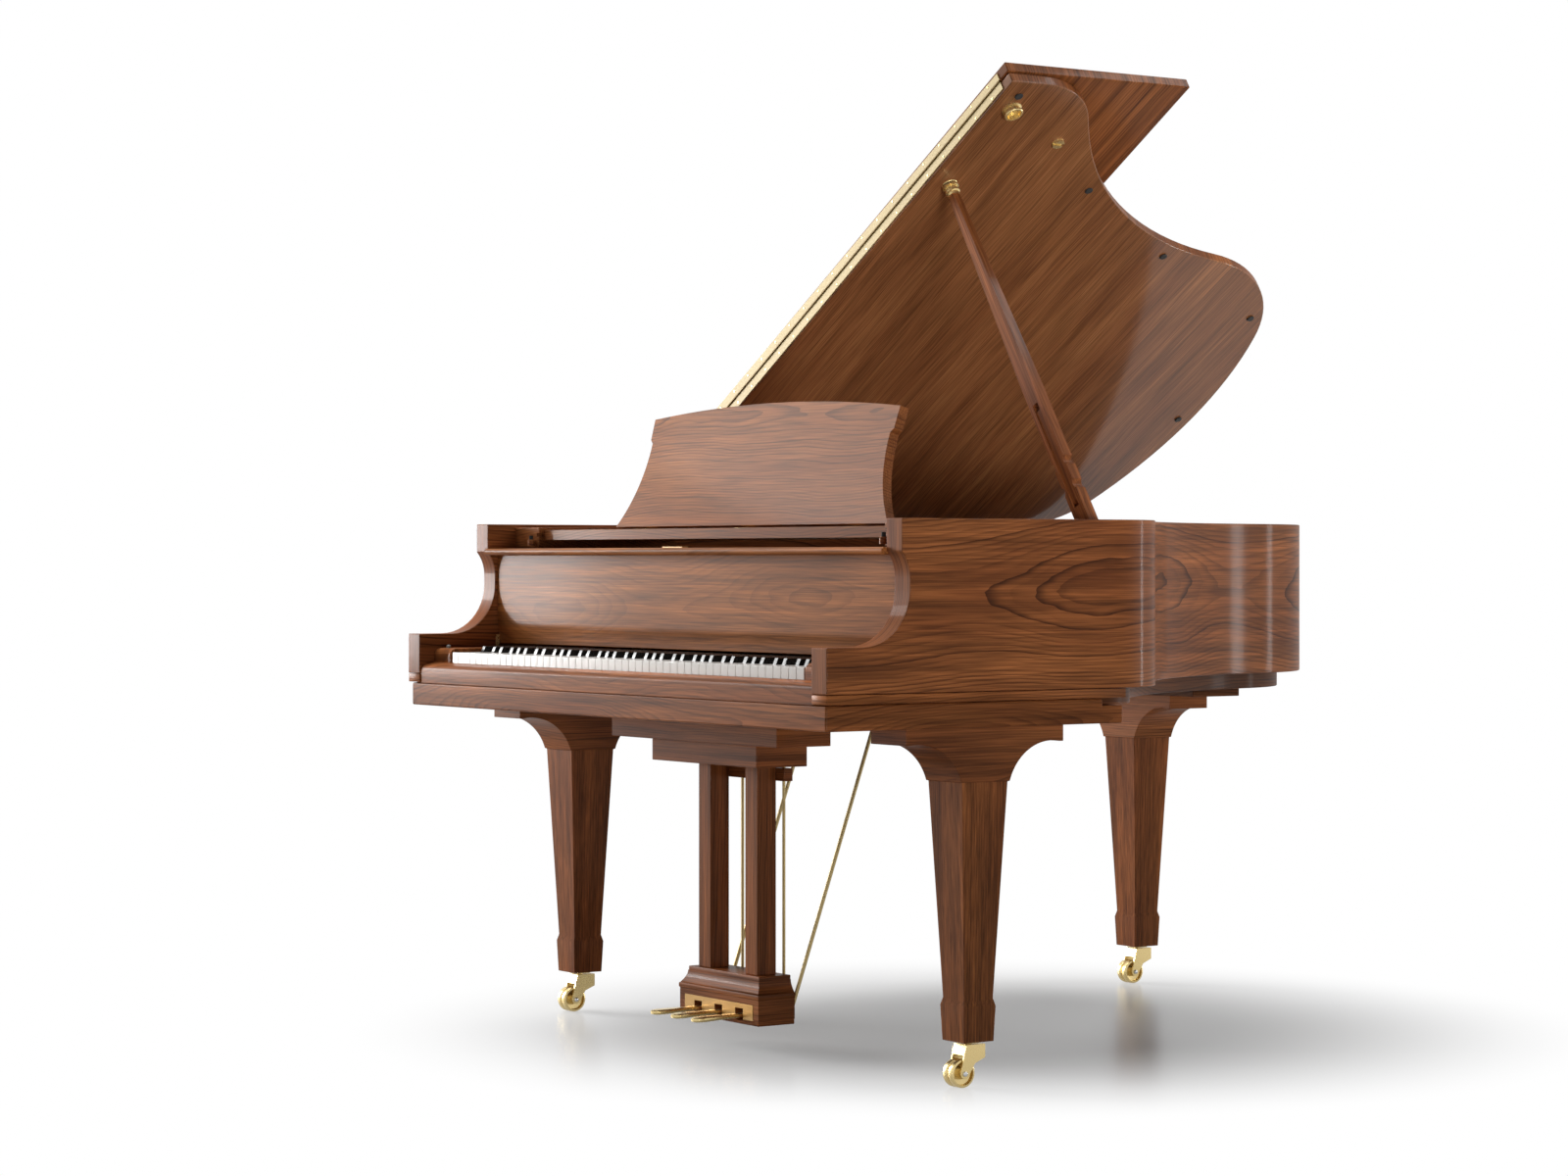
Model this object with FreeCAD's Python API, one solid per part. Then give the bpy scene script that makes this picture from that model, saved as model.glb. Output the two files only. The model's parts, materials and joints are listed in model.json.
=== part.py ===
"""Grand piano with raised lid, as separate solids in millimetres, +Z up.

X runs from the bass to the treble side, Y from the keyboard to the tail.
Y is counted from the front of the key bed while modelling; the pieces are
then moved so that the origin lies on the floor under the middle of the part.
"""
import FreeCAD
import Part
import math
import os

V = FreeCAD.Vector
X_AXIS, Y_AXIS, Z_AXIS = V(1, 0, 0), V(0, 1, 0), V(0, 0, 1)

# Key bed
BED_BOTTOM = 628.7
BED_INSET = 9.0
BED_FRONT = 4.0
BED_DEPTH = 642.0
BED_THICKNESS = 43.8
BED_RISE = 19.0
BED_STEP = 8.0

# Case and rim
RIM_WALL = 46.0
RIM_HEIGHT = 297.5
SIDE_LENGTH = 632.6
CORNER_BEND = (172.0, 54.1)
BENTSIDE_STRAIGHT = 52.7
BENTSIDE_BEND = (943.0, 43.8)
TAIL_BEND = (359.0, 61.9)
BACK_BEND = (1003.0, 36.7)
INNER_WALL = 40.0
INNER_DROP = 31.5
INNER_HEIGHT = 190.0
BELLY_FRONT = 600.0
BELLY_WALL = 50.0
BEAM_WIDTH = 62.0
BEAM_HEIGHT = 96.0
BEAM_ENDS = ((-430.0, -470.0), (-40.0, -230.0), (330.0, -60.0))
BEAM_PAST_LEG = 200.0

# Arms at the two ends of the keyboard
UPPER_ARM_FRONT = 156.0
UPPER_ARM_HEIGHT = 56.0
UPPER_SCOOP_HEIGHT = 45.0
UPPER_SCOOP_DEPTH = 17.0
SCOOP_STRAIGHT = 20.0
SCOOP_RADIUS = 98.0

# Key slip and cheek blocks
SLIP_FRONT = 3.0
SLIP_DEPTH = 30.0
SLIP_RISE = 22.5
SLIP_FALL = 14.0
SLIP_NOSE = 12.0
CHEEK_WIDTH = 66.75
CHEEK_BACK = 186.0
CHEEK_RISE = 7.6
CHEEK_ROUND = 14.0
BLOCK_CLEAR = 5.0

# Keys
WHITE_PITCH = 23.625
WHITE_COUNT = 52
KEY_GAP = 1.0
KEY_SLIP_GAP = 2.0
KEY_SEAT = 20.5
KEY_THICKNESS = 22.4
KEY_HEAD = 50.0
KEY_LENGTH = 405.0
KEY_ROUND = 0.8
SHARP_WIDTH = 10.5
SHARP_LENGTH = 96.0
SHARP_HEIGHT = 12.0
SHARP_SLOPE = 6.0
SHARP_ROUND = 1.5
SHARP_STICK_DROP = 2.0
BALANCE_BACK = 215.0
BALANCE_R = 4.0
BALANCE_DROP = 1.5
FRAME_RAIL = 30.0
FRAME_BOARD = 7.0
KEY_CLEAR = 0.3

# Action and hammers
ACTION_GAP = 12.0
ACTION_RAIL = 40.0
ACTION_BRACKET = 12.0
HAMMER_STRIKE = 18.0
HAMMER_WIDTH = 8.0
HAMMER_HEIGHT = 56.0
HAMMER_DEPTH = 20.0
HAMMER_REST = 40.0
SHANK_R = 2.6
SHANK_RISE = 8.0
SHANK_ON_RAIL = 38.0

# Fallboard
FALL_CLEAR = 0.5
FALL_FACE = 178.0
FALL_THICKNESS = 18.0
FALL_DROP = 49.0
FALL_PIVOT_BACK = 20.0
FALL_ROOM = 3.6
FALL_FOOT_R = 14.0
FALL_TURN = 26.0
FALL_TURN_SAG = (4.5, 20.0)
FALL_HEEL = 40.0
LIP_DEPTH = 32.0
LIP_HEIGHT = 13.0
LOCK_WIDTH = 68.0
LOCK_DEPTH = 14.0
BRASS_LEAF = 2.0

# Music desk, its tray and the tray's side rails
TRAY_SET = 54.0
TRAY_DEPTH = 316.0
TRAY_RISE = 15.0
TRAY_THICKNESS = 20.0
TRAY_TONGUE = 8.0
RAIL_LEAD = 12.0
RAIL_WIDTH = 94.0
RAIL_HEIGHT = 40.0
RAIL_DROP = 7.0
SLIDE_CLEAR = 0.3
DESK_SET = 108.0
DESK_LEAN = 16.3
DESK_THICKNESS = 20.0
DESK_HALF_FOOT = 462.0
DESK_HALF_WAIST = 402.0
DESK_HALF_TOP = 414.0
DESK_SHOULDER = 172.0
DESK_SHOULDER_STEP = (9.0, 7.0)
DESK_FLARE = (14.0, 0.45)
DESK_CORNER = 222.0
DESK_CROWN = 242.0
DESK_BARREL_R = 3.5
DESK_BARREL_LENGTH = 60.0
DESK_BARREL_X = 250.0
STRUT_PIVOT = 70.0
STRUT_LENGTH = 100.0
STRUT_WIDTH = 40.0
STRUT_THICKNESS = 7.0
STRUT_ROOM = 1.0
STRUT_SEAT = 0.4

# Lid, front flap and prop
LID_OVERHANG = 15.0
LID_THICKNESS = 20.0
LID_GAP = 4.0
LID_FRONT = 555.5
LID_ANGLE = 32.0
HINGE_OUT = 8.0
KNUCKLE_R = 5.0
PIN_R = 2.5
PIN_CLEAR = 0.3
HINGE_LENGTH = 90.0
HINGE_LEAF = 3.0
HINGE_LEAF_HEIGHT = 40.0
HINGE_WEB_DROP = 12.0
HINGE_PLACES = (690.0, 1030.0, 1370.0)
FLAP_DEPTH = 430.0
FLAP_HINGE_R = 2.5
FLAP_HINGE_END = 28.0
PROP_FOOT_INSET = 22.0
PROP_FOOT_LEAD = 7.6
PROP_FOOT_DROP = 27.0
PROP_WIDTH = 34.0
PROP_DEPTH = 22.0
PROP_TIP = 15.0
PROP_TAPER = 60.0
PROP_SLOT = 14.0
PROP_SLOT_START = 60.0
SCALLOP_R = 11.0
SCALLOP_OUT = 6.0
SCALLOP_PLACES = (40.0, 90.0)
SHORT_PROP_LENGTH = 190.0
SHORT_PROP_WIDTH = 13.0
SHORT_PROP_PIN = 14.0
SHORT_PROP_INSET = 2.0
EAR_WALL = 4.0
EAR_R = 10.0
BRACKET_BASE = (52.0, 32.0)
PROP_PIN_R = 4.0
CUP_R = 15.0
CUP_CLEAR = 0.4
KNOB_HEIGHT = 6.0
PROP_CUP = (281.0, 50.5)
SHORT_CUP = (52.0, 46.5)
LOCK_KNOB = (136.0, 210.5)
BUTTON_R = 8.0
FRONT_BUTTON = (15.0, 38.5)
BACK_BUTTONS = ((269.0, 298.4), (459.0, 619.4), (651.0, 993.4), (1028.0, 1067.4))

# Soundboard, plate, pin block and strings
BOARD_THICKNESS = 8.0
RIB_COUNT = 9
RIB_PITCH = 125.0
RIB_FIRST = (-146.4, 40.0)
RIB_TURN = 35.0
RIB_WIDTH = 24.0
RIB_HEIGHT = 18.0
BRIDGE_WIDTH = 26.0
PLATE_CLEAR = 3.0
PLATE_THICKNESS = 14.0
PLATE_FRONT = 372.0
PLATE_FLANGE = 64.0
PLATE_WEB = 6.0
PLATE_STRUT_HEIGHT = 15.0
PLATE_STRUT_FOOT = 34.0
PLATE_STRUT_WIDTH = 22.0
PIN_BLOCK_THICKNESS = 34.0
PIN_BLOCK_GAP = 4.0
STRING_RISE = 30.0
OVERSTRUNG_RISE = 12.0
STRING_FRONT = 560.0
BASS_COUNT = 26
BASS_FIRST = 80.0
BASS_SPREAD = 344.0
BASS_BACK_FIRST = (216.0, 967.4)
BASS_BACK_LAST = (576.0, 817.4)
TREBLE_COUNT = 62
TREBLE_FIRST = 516.0
TREBLE_LAST = 86.5
SECTION_STARTS = (21, 41)
SECTION_GAP = 34.0
PLAIN_PAST_SIDE = 267.4
SHORTEST_PLAIN = 85.0
STRING_LEAN = 17.0
STRING_R_BASS = 2.2
STRING_R_TREBLE = 0.8
TUNING_PIN_R = 3.4
TUNING_PIN_ABOVE = 26.0
TUNING_ROWS = 3
TUNING_FIRST_ROW = 60.0
TUNING_ROW_STEP = 34.0
DAMPER_BACK = 85.0
DAMPER_WIDTH = 8.0
DAMPER_LENGTH = 34.0
DAMPER_HEIGHT = 26.0
DAMPER_COUNT = 68

# Legs and casters
LEG_INSET = 68.2
LEG_Y = 353.5
REAR_LEG_INSET = 326.5
REAR_LEG_BACK = 981.9
LEG_TOP_SIZE = 99.0
LEG_ANKLE_SIZE = 62.5
LEG_FOOT_SIZE = 64.0
COLLAR_SIZE = 69.5
COLLAR_RISE = 13.0
FOOT_HEIGHT = 62.0
FOOT_Z = 80.0
BRACKET_HEIGHT = 95.7
BRACKET_LENGTH = 342.0
BRACKET_WIDTH = 104.0
BRACKET_EDGE = 29.0
BRACKET_STEP = 8.0
BRACKET_LIP = 3.0
LEG_PLATE_LENGTH = 534.0
LEG_PLATE_LEAD = 69.5
LEG_PLATE_DEPTH = 128.0
WHEEL_R = 25.0
WHEEL_WIDTH = 13.0
WHEEL_GROOVE = 2.4
WHEEL_ROUND = 3.0
CASTER_TRAIL = 20.0
STEM_R = 5.5
STEM_DEPTH = 40.0
AXLE_R = 4.0
AXLE_END = 2.0
FORK_WALL = 3.5
FORK_CLEAR = 0.8
FORK_GAP = 5.0
FORK_ROOF = 6.0
FORK_FRONT = 16.0
FORK_BACK = 24.0
FORK_BOSS_R = 9.0
APRON_DROP = 18.0
APRON_THICKNESS = 6.0
RUN_CLEAR = 0.3

# Pedal lyre
LYRE_BLOCKS = ((284.0, 202.0, 321.0, 50.3), (179.0, 228.0, 341.0, 42.5))
POST_INNER = 58.7
POST_OUTER = 100.5
POST_FRONT = 283.0
POST_BACK = 325.0
BOX_BOTTOM = 55.0
BOX_HEIGHT = 90.0
BOX_HALF = 136.0
BOX_FRONT = 261.0
BOX_BACK = 344.0
BOX_MOULD = 32.0
BOX_CAP = 8.0
BOX_CAP_INSET = (17.0, 13.0)
COVE_FOOT = (4.0, 3.0, 10.0)
COVE_TOP = 2.0
BOX_GROOVE = (40.5, 6.0)
BOX_GROOVE_DEPTH = 2.5
BOX_PIN_INSET = 20.0
CROSSBAR_DROP = 5.9
CROSSBAR_HEIGHT = 24.0
CROSSBAR_HALF = 126.0
CROSSBAR_DEPTH = 20.0
PEDAL_X = 70.0
PEDAL_TIP = 165.0
PEDAL_BACK = 376.0
PEDAL_RISE = 15.0
PEDAL_THICKNESS = 8.0
PEDAL_WIDTH = 14.0
PEDAL_TOE = 24.0
PEDAL_TOE_LENGTH = 22.0
PEDAL_NECK = 8.0
PEDAL_ROUND = 2.5
PEDAL_PIVOT = 304.0
PEDAL_CLEAR = 2.0
PEDAL_ROOM = (7.0, 6.0)
ROD_Y = 363.0
ROD_R = 3.0
ROD_SEAT = 0.3
ROD_TRAVEL = 8.0
BRACE_R = 3.6
BRACE_X = 112.0
BRACE_FOOT_RISE = 12.0
BRACE_TOP_Y = 548.0
BRACE_FLANGE = 4.0

# Derived heights
BED_TOP = BED_BOTTOM + BED_THICKNESS + BED_RISE
RIM_BOTTOM = BED_TOP
RIM_TOP = RIM_BOTTOM + RIM_HEIGHT
INNER_BOTTOM = RIM_BOTTOM - INNER_DROP
INNER_TOP = INNER_BOTTOM + INNER_HEIGHT
BOARD_TOP = INNER_TOP + BOARD_THICKNESS
PLATE_TOP = BOARD_TOP + PLATE_THICKNESS
STRING_Z = BOARD_TOP + STRING_RISE
BASS_Z = STRING_Z + OVERSTRUNG_RISE
KEY_BOTTOM = BED_TOP + KEY_SEAT
KEY_TOP = KEY_BOTTOM + KEY_THICKNESS
CHEEK_TOP = KEY_TOP + CHEEK_RISE
SLIP_BACK_TOP = BED_TOP + SLIP_RISE
SHANK_Z = STRING_Z - HAMMER_REST - HAMMER_HEIGHT + SHANK_RISE
FALL_TOP = RIM_TOP - FALL_DROP
FALL_PIVOT_Z = KEY_TOP + SHARP_HEIGHT + FALL_ROOM + FALL_FOOT_R
RAIL_TOP = RIM_TOP - RAIL_DROP
RAIL_BOTTOM = RAIL_TOP - RAIL_HEIGHT
TRAY_BOTTOM = RAIL_BOTTOM + TRAY_RISE
TRAY_TOP = TRAY_BOTTOM + TRAY_THICKNESS
LID_BOTTOM = RIM_TOP + LID_GAP
LID_TOP = LID_BOTTOM + LID_THICKNESS
HINGE_Z = LID_BOTTOM
FLAP_AXIS_Z = LID_TOP + FLAP_HINGE_R
SHAFT_TOP = BED_BOTTOM - BRACKET_HEIGHT
COLLAR_Z = FOOT_Z + FOOT_HEIGHT
ANKLE_Z = COLLAR_Z + COLLAR_RISE
FORK_TOP = FOOT_Z - FORK_GAP
LYRE_LOW = BED_BOTTOM - LYRE_BLOCKS[0][3] - LYRE_BLOCKS[1][3]
CROSSBAR_TOP = LYRE_LOW - CROSSBAR_DROP
BOX_TOP = BOX_BOTTOM + BOX_HEIGHT
PEDAL_Z = BOX_BOTTOM + PEDAL_RISE

# Derived places across the case
KEYS_HALF = WHITE_PITCH * WHITE_COUNT / 2
ARM_INNER = KEYS_HALF + BLOCK_CLEAR + CHEEK_WIDTH
HALF_CASE = ARM_INNER + RIM_WALL
CASE_WIDTH = 2 * HALF_CASE
BED_HALF = HALF_CASE - BED_INSET
TRAY_HALF = ARM_INNER - RAIL_WIDTH
LEG_X = BED_HALF - LEG_INSET
REAR_LEG_X = REAR_LEG_INSET - HALF_CASE
HINGE_X = -(HALF_CASE + HINGE_OUT)
LID_SPINE = HINGE_X + KNUCKLE_R + 1
LID_TREBLE = HALF_CASE + LID_OVERHANG
BASS_FIRST_X = BASS_FIRST - ARM_INNER
BASS_LAST_X = BASS_FIRST_X + BASS_SPREAD
TREBLE_FIRST_X = TREBLE_FIRST - ARM_INNER
TREBLE_ROOM = ARM_INNER - TREBLE_LAST - TREBLE_FIRST_X - len(SECTION_STARTS) * SECTION_GAP
TREBLE_PITCH = TREBLE_ROOM / (TREBLE_COUNT - 1)

# Derived places from the front to the tail
SLIP_BACK = SLIP_FRONT + SLIP_DEPTH
KEY_FRONT = SLIP_BACK + KEY_SLIP_GAP
BALANCE_Y = KEY_FRONT + BALANCE_BACK
ACTION_RAIL_Y = KEY_FRONT + KEY_LENGTH + ACTION_GAP
HAMMER_Y = STRING_FRONT + HAMMER_STRIKE
DAMPER_Y = STRING_FRONT + DAMPER_BACK
SCOOP_BACK = UPPER_ARM_FRONT + UPPER_SCOOP_DEPTH
FALL_PIVOT_Y = FALL_FACE + FALL_PIVOT_BACK
TRAY_FRONT = FALL_FACE + TRAY_SET
TRAY_BACK = TRAY_FRONT + TRAY_DEPTH
DESK_HINGE_Y = TRAY_FRONT + DESK_SET
FLAP_AXIS_Y = LID_FRONT - BRASS_LEAF
REAR_LEG_Y = SIDE_LENGTH + REAR_LEG_BACK
PROP_FOOT = (ARM_INNER - PROP_FOOT_INSET, SIDE_LENGTH - PROP_FOOT_LEAD, RIM_TOP - PROP_FOOT_DROP)
LONGEST_PLAIN = SIDE_LENGTH + PLAIN_PAST_SIDE

parts = {}


# Shared shape helpers

def box(x0, x1, y0, y1, z0, z1):
    return Part.makeBox(x1 - x0, y1 - y0, z1 - z0, V(x0, y0, z0))


def rod(start, end, radius):
    return Part.makeCylinder(radius, (end - start).Length, start, end - start)


def both_sides(shape):
    """The shape and its mirror image on the bass side."""
    return [shape, shape.mirror(V(0, 0, 0), X_AXIS)]


def group(shapes):
    """Separate solids of one node."""
    return Part.makeCompound([solid for shape in shapes for solid in shape.Solids])


def fused(shapes):
    return shapes[0].multiFuse(shapes[1:]).removeSplitter()


def wire(*edges):
    return Part.Wire([edge.toShape() for edge in edges])


def prism_x(outline, x0, x1):
    """Extrude an outline of (y, z) points or a ready wire in the YZ plane along X."""
    if not isinstance(outline, Part.Wire):
        outline = Part.makePolygon([V(0, y, z) for y, z in outline + outline[:1]])
    face = Part.Face(outline)
    face.translate(V(x0, 0, 0))
    return face.extrude(V(x1 - x0, 0, 0))


def prism_y(outline, y0, y1):
    """Extrude an outline of (x, z) points or a ready wire in the XZ plane along Y."""
    if not isinstance(outline, Part.Wire):
        outline = Part.makePolygon([V(x, 0, z) for x, z in outline + outline[:1]])
    face = Part.Face(outline)
    face.translate(V(0, y0, 0))
    return face.extrude(V(0, y1 - y0, 0))


def square(size, z, x, y):
    half = size / 2
    corners = [(-half, -half), (half, -half), (half, half), (-half, half), (-half, -half)]
    return Part.makePolygon([V(x + dx, y + dy, z) for dx, dy in corners])


def rounded(shape, radius, wanted):
    """Fillet the edges that the test picks."""
    edges = [edge for edge in shape.Edges if wanted(edge)]
    return shape.makeFillet(radius, edges) if edges else shape


def along(edge, axis):
    """True for a straight edge parallel to the axis."""
    return isinstance(edge.Curve, Part.Line) and abs(edge.tangentAt(edge.FirstParameter).dot(axis)) > 0.999


def plan(inset, front, z0, z1):
    """The case's plan as a solid: straight treble side, bentside, tail and spine, inset from the outer face."""
    half = HALF_CASE - inset
    edges = [Part.LineSegment(V(half, -half, 0), V(half, SIDE_LENGTH, 0))]
    spot, heading = V(half, SIDE_LENGTH, 0), math.radians(90)

    def bend(radius, turn):
        nonlocal spot, heading
        side = math.copysign(1, turn)
        centre = spot + V(-math.sin(heading), math.cos(heading), 0) * (side * radius)

        def at(angle):
            return centre + V(math.sin(angle), -math.cos(angle), 0) * (side * radius)

        last = heading + math.radians(turn)
        edges.append(Part.Arc(spot, at((heading + last) / 2), at(last)))
        spot, heading = at(last), last

    bend(CORNER_BEND[0] - inset, CORNER_BEND[1])
    after = spot + V(math.cos(heading), math.sin(heading), 0) * BENTSIDE_STRAIGHT
    edges.append(Part.LineSegment(spot, after))
    spot = after
    bend(BENTSIDE_BEND[0] + inset, -BENTSIDE_BEND[1])
    bend(TAIL_BEND[0] - inset, TAIL_BEND[1])
    bend(BACK_BEND[0] - inset, BACK_BEND[1])
    spine_radius = (spot.x + half) / (math.sin(heading) + 1)
    bend(spine_radius, 270 - math.degrees(heading))
    edges.append(Part.LineSegment(spot, V(-half, -half, 0)))
    edges.append(Part.LineSegment(V(-half, -half, 0), V(half, -half, 0)))
    face = Part.Face(wire(*edges))
    face.translate(V(0, 0, z0))
    return face.extrude(V(0, 0, z1 - z0)).cut(box(-CASE_WIDTH, CASE_WIDTH, -CASE_WIDTH, front, z0 - 1, z1 + 1))


def opened(shape):
    """Swing a piece drawn on the closed lid up to the propped angle."""
    turned = shape.copy()
    turned.rotate(V(HINGE_X, 0, HINGE_Z), Y_AXIS, -LID_ANGLE)
    return turned


def folded(shape):
    """Fold a piece drawn on the unfolded flap back on top of the lid, then open the lid."""
    turned = shape.copy()
    turned.rotate(V(0, FLAP_AXIS_Y, FLAP_AXIS_Z), X_AXIS, -180)
    return opened(turned)


def on_lid(inset, y, depth):
    """A point below the closed lid's underside, at an inset from the treble side."""
    return V(HALF_CASE - HINGE_OUT - inset, y, LID_BOTTOM - depth)


# Outer rim with its two scooped arms

def outer_rim():
    ring = plan(0, 0, RIM_BOTTOM, RIM_TOP).cut(plan(RIM_WALL, -10, RIM_BOTTOM - 1, RIM_TOP + 1))
    arm_low = RIM_TOP - UPPER_ARM_HEIGHT
    waist = arm_low - UPPER_SCOOP_HEIGHT
    lower_z = waist - SCOOP_STRAIGHT
    lower_top = lower_z - SCOOP_RADIUS
    upper_r = (UPPER_SCOOP_DEPTH ** 2 + UPPER_SCOOP_HEIGHT ** 2) / (2 * UPPER_SCOOP_DEPTH)
    half_turn = math.asin(UPPER_SCOOP_HEIGHT / upper_r) / 2
    upper_y = SCOOP_BACK - upper_r * (1 - math.cos(half_turn))
    upper_mid = V(0, upper_y, waist + upper_r * math.sin(half_turn))
    diagonal = SCOOP_RADIUS * math.sqrt(0.5)
    lower_mid = V(0, SCOOP_BACK - SCOOP_RADIUS + diagonal, lower_z - diagonal)
    points = [V(0, -20, RIM_TOP + 20), V(0, UPPER_ARM_FRONT, RIM_TOP + 20), V(0, UPPER_ARM_FRONT, arm_low),
              V(0, SCOOP_BACK, waist), V(0, SCOOP_BACK, lower_z),
              V(0, SCOOP_BACK - SCOOP_RADIUS, lower_top), V(0, -20, lower_top)]
    scoop = wire(Part.LineSegment(points[0], points[1]), Part.LineSegment(points[1], points[2]),
                 Part.Arc(points[2], upper_mid, points[3]), Part.LineSegment(points[3], points[4]),
                 Part.Arc(points[4], lower_mid, points[5]), Part.LineSegment(points[5], points[6]),
                 Part.LineSegment(points[6], points[0]))
    return ring.cut(prism_x(scoop, -HALF_CASE - 10, HALF_CASE + 10))


# Inner rim, belly rail and the beams that carry the case

def inner_rim():
    outside = plan(RIM_WALL, BELLY_FRONT, INNER_BOTTOM, INNER_TOP)
    hollow = plan(RIM_WALL + INNER_WALL, BELLY_FRONT + BELLY_WALL, INNER_BOTTOM - 1, INNER_TOP + 1)
    return outside.cut(hollow)


def back_beams():
    """Beams from the belly rail to the tail, and the plate under them that takes the rear leg."""
    room = plan(RIM_WALL + INNER_WALL, BELLY_FRONT + BELLY_WALL, INNER_BOTTOM, INNER_BOTTOM + BEAM_HEIGHT)
    beams = []
    half = BEAM_WIDTH / 2
    back = REAR_LEG_Y + BEAM_PAST_LEG
    for front_x, back_x in BEAM_ENDS:
        corners = [(front_x - half, BELLY_FRONT), (front_x + half, BELLY_FRONT),
                   (back_x + half, back), (back_x - half, back)]
        face = Part.Face(Part.makePolygon([V(x, y, INNER_BOTTOM) for x, y in corners + corners[:1]]))
        beams.append(face.extrude(V(0, 0, BEAM_HEIGHT)).common(room))
    front = REAR_LEG_Y - LEG_PLATE_LEAD
    leg_plate = box(REAR_LEG_X - LEG_PLATE_LENGTH / 2, REAR_LEG_X + LEG_PLATE_LENGTH / 2,
                    front, front + LEG_PLATE_DEPTH, BED_BOTTOM, INNER_BOTTOM)
    return group(beams + [leg_plate])


# Soundboard with ribs, bridges, pin block and iron plate

def soundboard():
    board = plan(RIM_WALL, BELLY_FRONT, INNER_TOP, BOARD_TOP)
    room = plan(RIM_WALL + INNER_WALL, BELLY_FRONT + BELLY_WALL, INNER_TOP - RIB_HEIGHT, INNER_TOP)
    ribs = []
    for index in range(RIB_COUNT):
        rib = box(-CASE_WIDTH, CASE_WIDTH, -RIB_WIDTH / 2, RIB_WIDTH / 2, INNER_TOP - RIB_HEIGHT, INNER_TOP)
        rib.rotate(V(0, 0, 0), Z_AXIS, RIB_TURN)
        rib.translate(V(RIB_FIRST[0], BELLY_FRONT + RIB_FIRST[1] + RIB_PITCH * index, 0))
        ribs.append(rib.common(room))
    return group([board] + ribs)


def treble_x(index):
    """Front end of a plain string; each section starts after a gap that a plate strut fills."""
    sections = sum(index >= start for start in SECTION_STARTS)
    return TREBLE_FIRST_X + index * TREBLE_PITCH + sections * SECTION_GAP


def treble_lean(index):
    return math.radians(STRING_LEAN * (1 - index / (TREBLE_COUNT - 1)))


def treble_string(index):
    """Front and back ends of one plain string: lengths shrink towards the treble."""
    t = index / (TREBLE_COUNT - 1)
    front = V(treble_x(index), STRING_FRONT, STRING_Z)
    length = LONGEST_PLAIN * (SHORTEST_PLAIN / LONGEST_PLAIN) ** (t ** 0.92)
    lean = treble_lean(index)
    return front, front + V(-math.sin(lean), math.cos(lean), 0) * length


def bass_string(index):
    """Front and back ends of one wound string, crossing above the plain ones."""
    t = index / (BASS_COUNT - 1)
    front = V(BASS_FIRST_X + (BASS_LAST_X - BASS_FIRST_X) * t, STRING_FRONT, BASS_Z)
    first_x, last_x = BASS_BACK_FIRST[0] - ARM_INNER, BASS_BACK_LAST[0] - ARM_INNER
    first_y, last_y = SIDE_LENGTH + BASS_BACK_FIRST[1], SIDE_LENGTH + BASS_BACK_LAST[1]
    return front, V(first_x + (last_x - first_x) * t, first_y + (last_y - first_y) * t ** 1.5, BASS_Z)


def plate_strut_lines():
    """Front place and lean of each plate strut: beside the bass, at the break, and in the section gaps."""
    lines = [(BASS_FIRST_X - PLATE_STRUT_WIDTH, 0.0), ((BASS_LAST_X + TREBLE_FIRST_X) / 2, math.radians(4))]
    for start in SECTION_STARTS:
        lines.append(((treble_x(start - 1) + treble_x(start)) / 2, treble_lean(start)))
    return lines


def bridges():
    """Long treble bridge under the plain strings and a bass bridge under the wound ones."""
    pieces = []
    for ends, count, share, top in ((treble_string, TREBLE_COUNT, 0.9, STRING_Z - STRING_R_TREBLE),
                                    (bass_string, BASS_COUNT, 0.93, BASS_Z - STRING_R_BASS)):
        spots = []
        for step in range(9):
            front, back = ends(round(step * (count - 1) / 8))
            spots.append(front + (back - front) * share)
        centre = Part.BSplineCurve()
        centre.interpolate([V(p.x, p.y, BOARD_TOP) for p in spots])
        half = BRIDGE_WIDTH / 2
        sides = []
        for sign in (1, -1):
            side = []
            for step in range(13):
                u = centre.FirstParameter + (centre.LastParameter - centre.FirstParameter) * step / 12
                tangent = V(*centre.tangent(u)[0])
                side.append(centre.value(u) + V(-tangent.y, tangent.x, 0) * (sign * half))
            curve = Part.BSplineCurve()
            curve.interpolate(side)
            sides.append((curve, side))
        (left, left_points), (right, right_points) = sides
        outline = Part.Wire([left.toShape(), Part.LineSegment(left_points[-1], right_points[-1]).toShape(),
                             right.toShape(), Part.LineSegment(right_points[0], left_points[0]).toShape()])
        pieces.append(Part.Face(outline).extrude(V(0, 0, top - BOARD_TOP)))
    return group(pieces)


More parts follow.
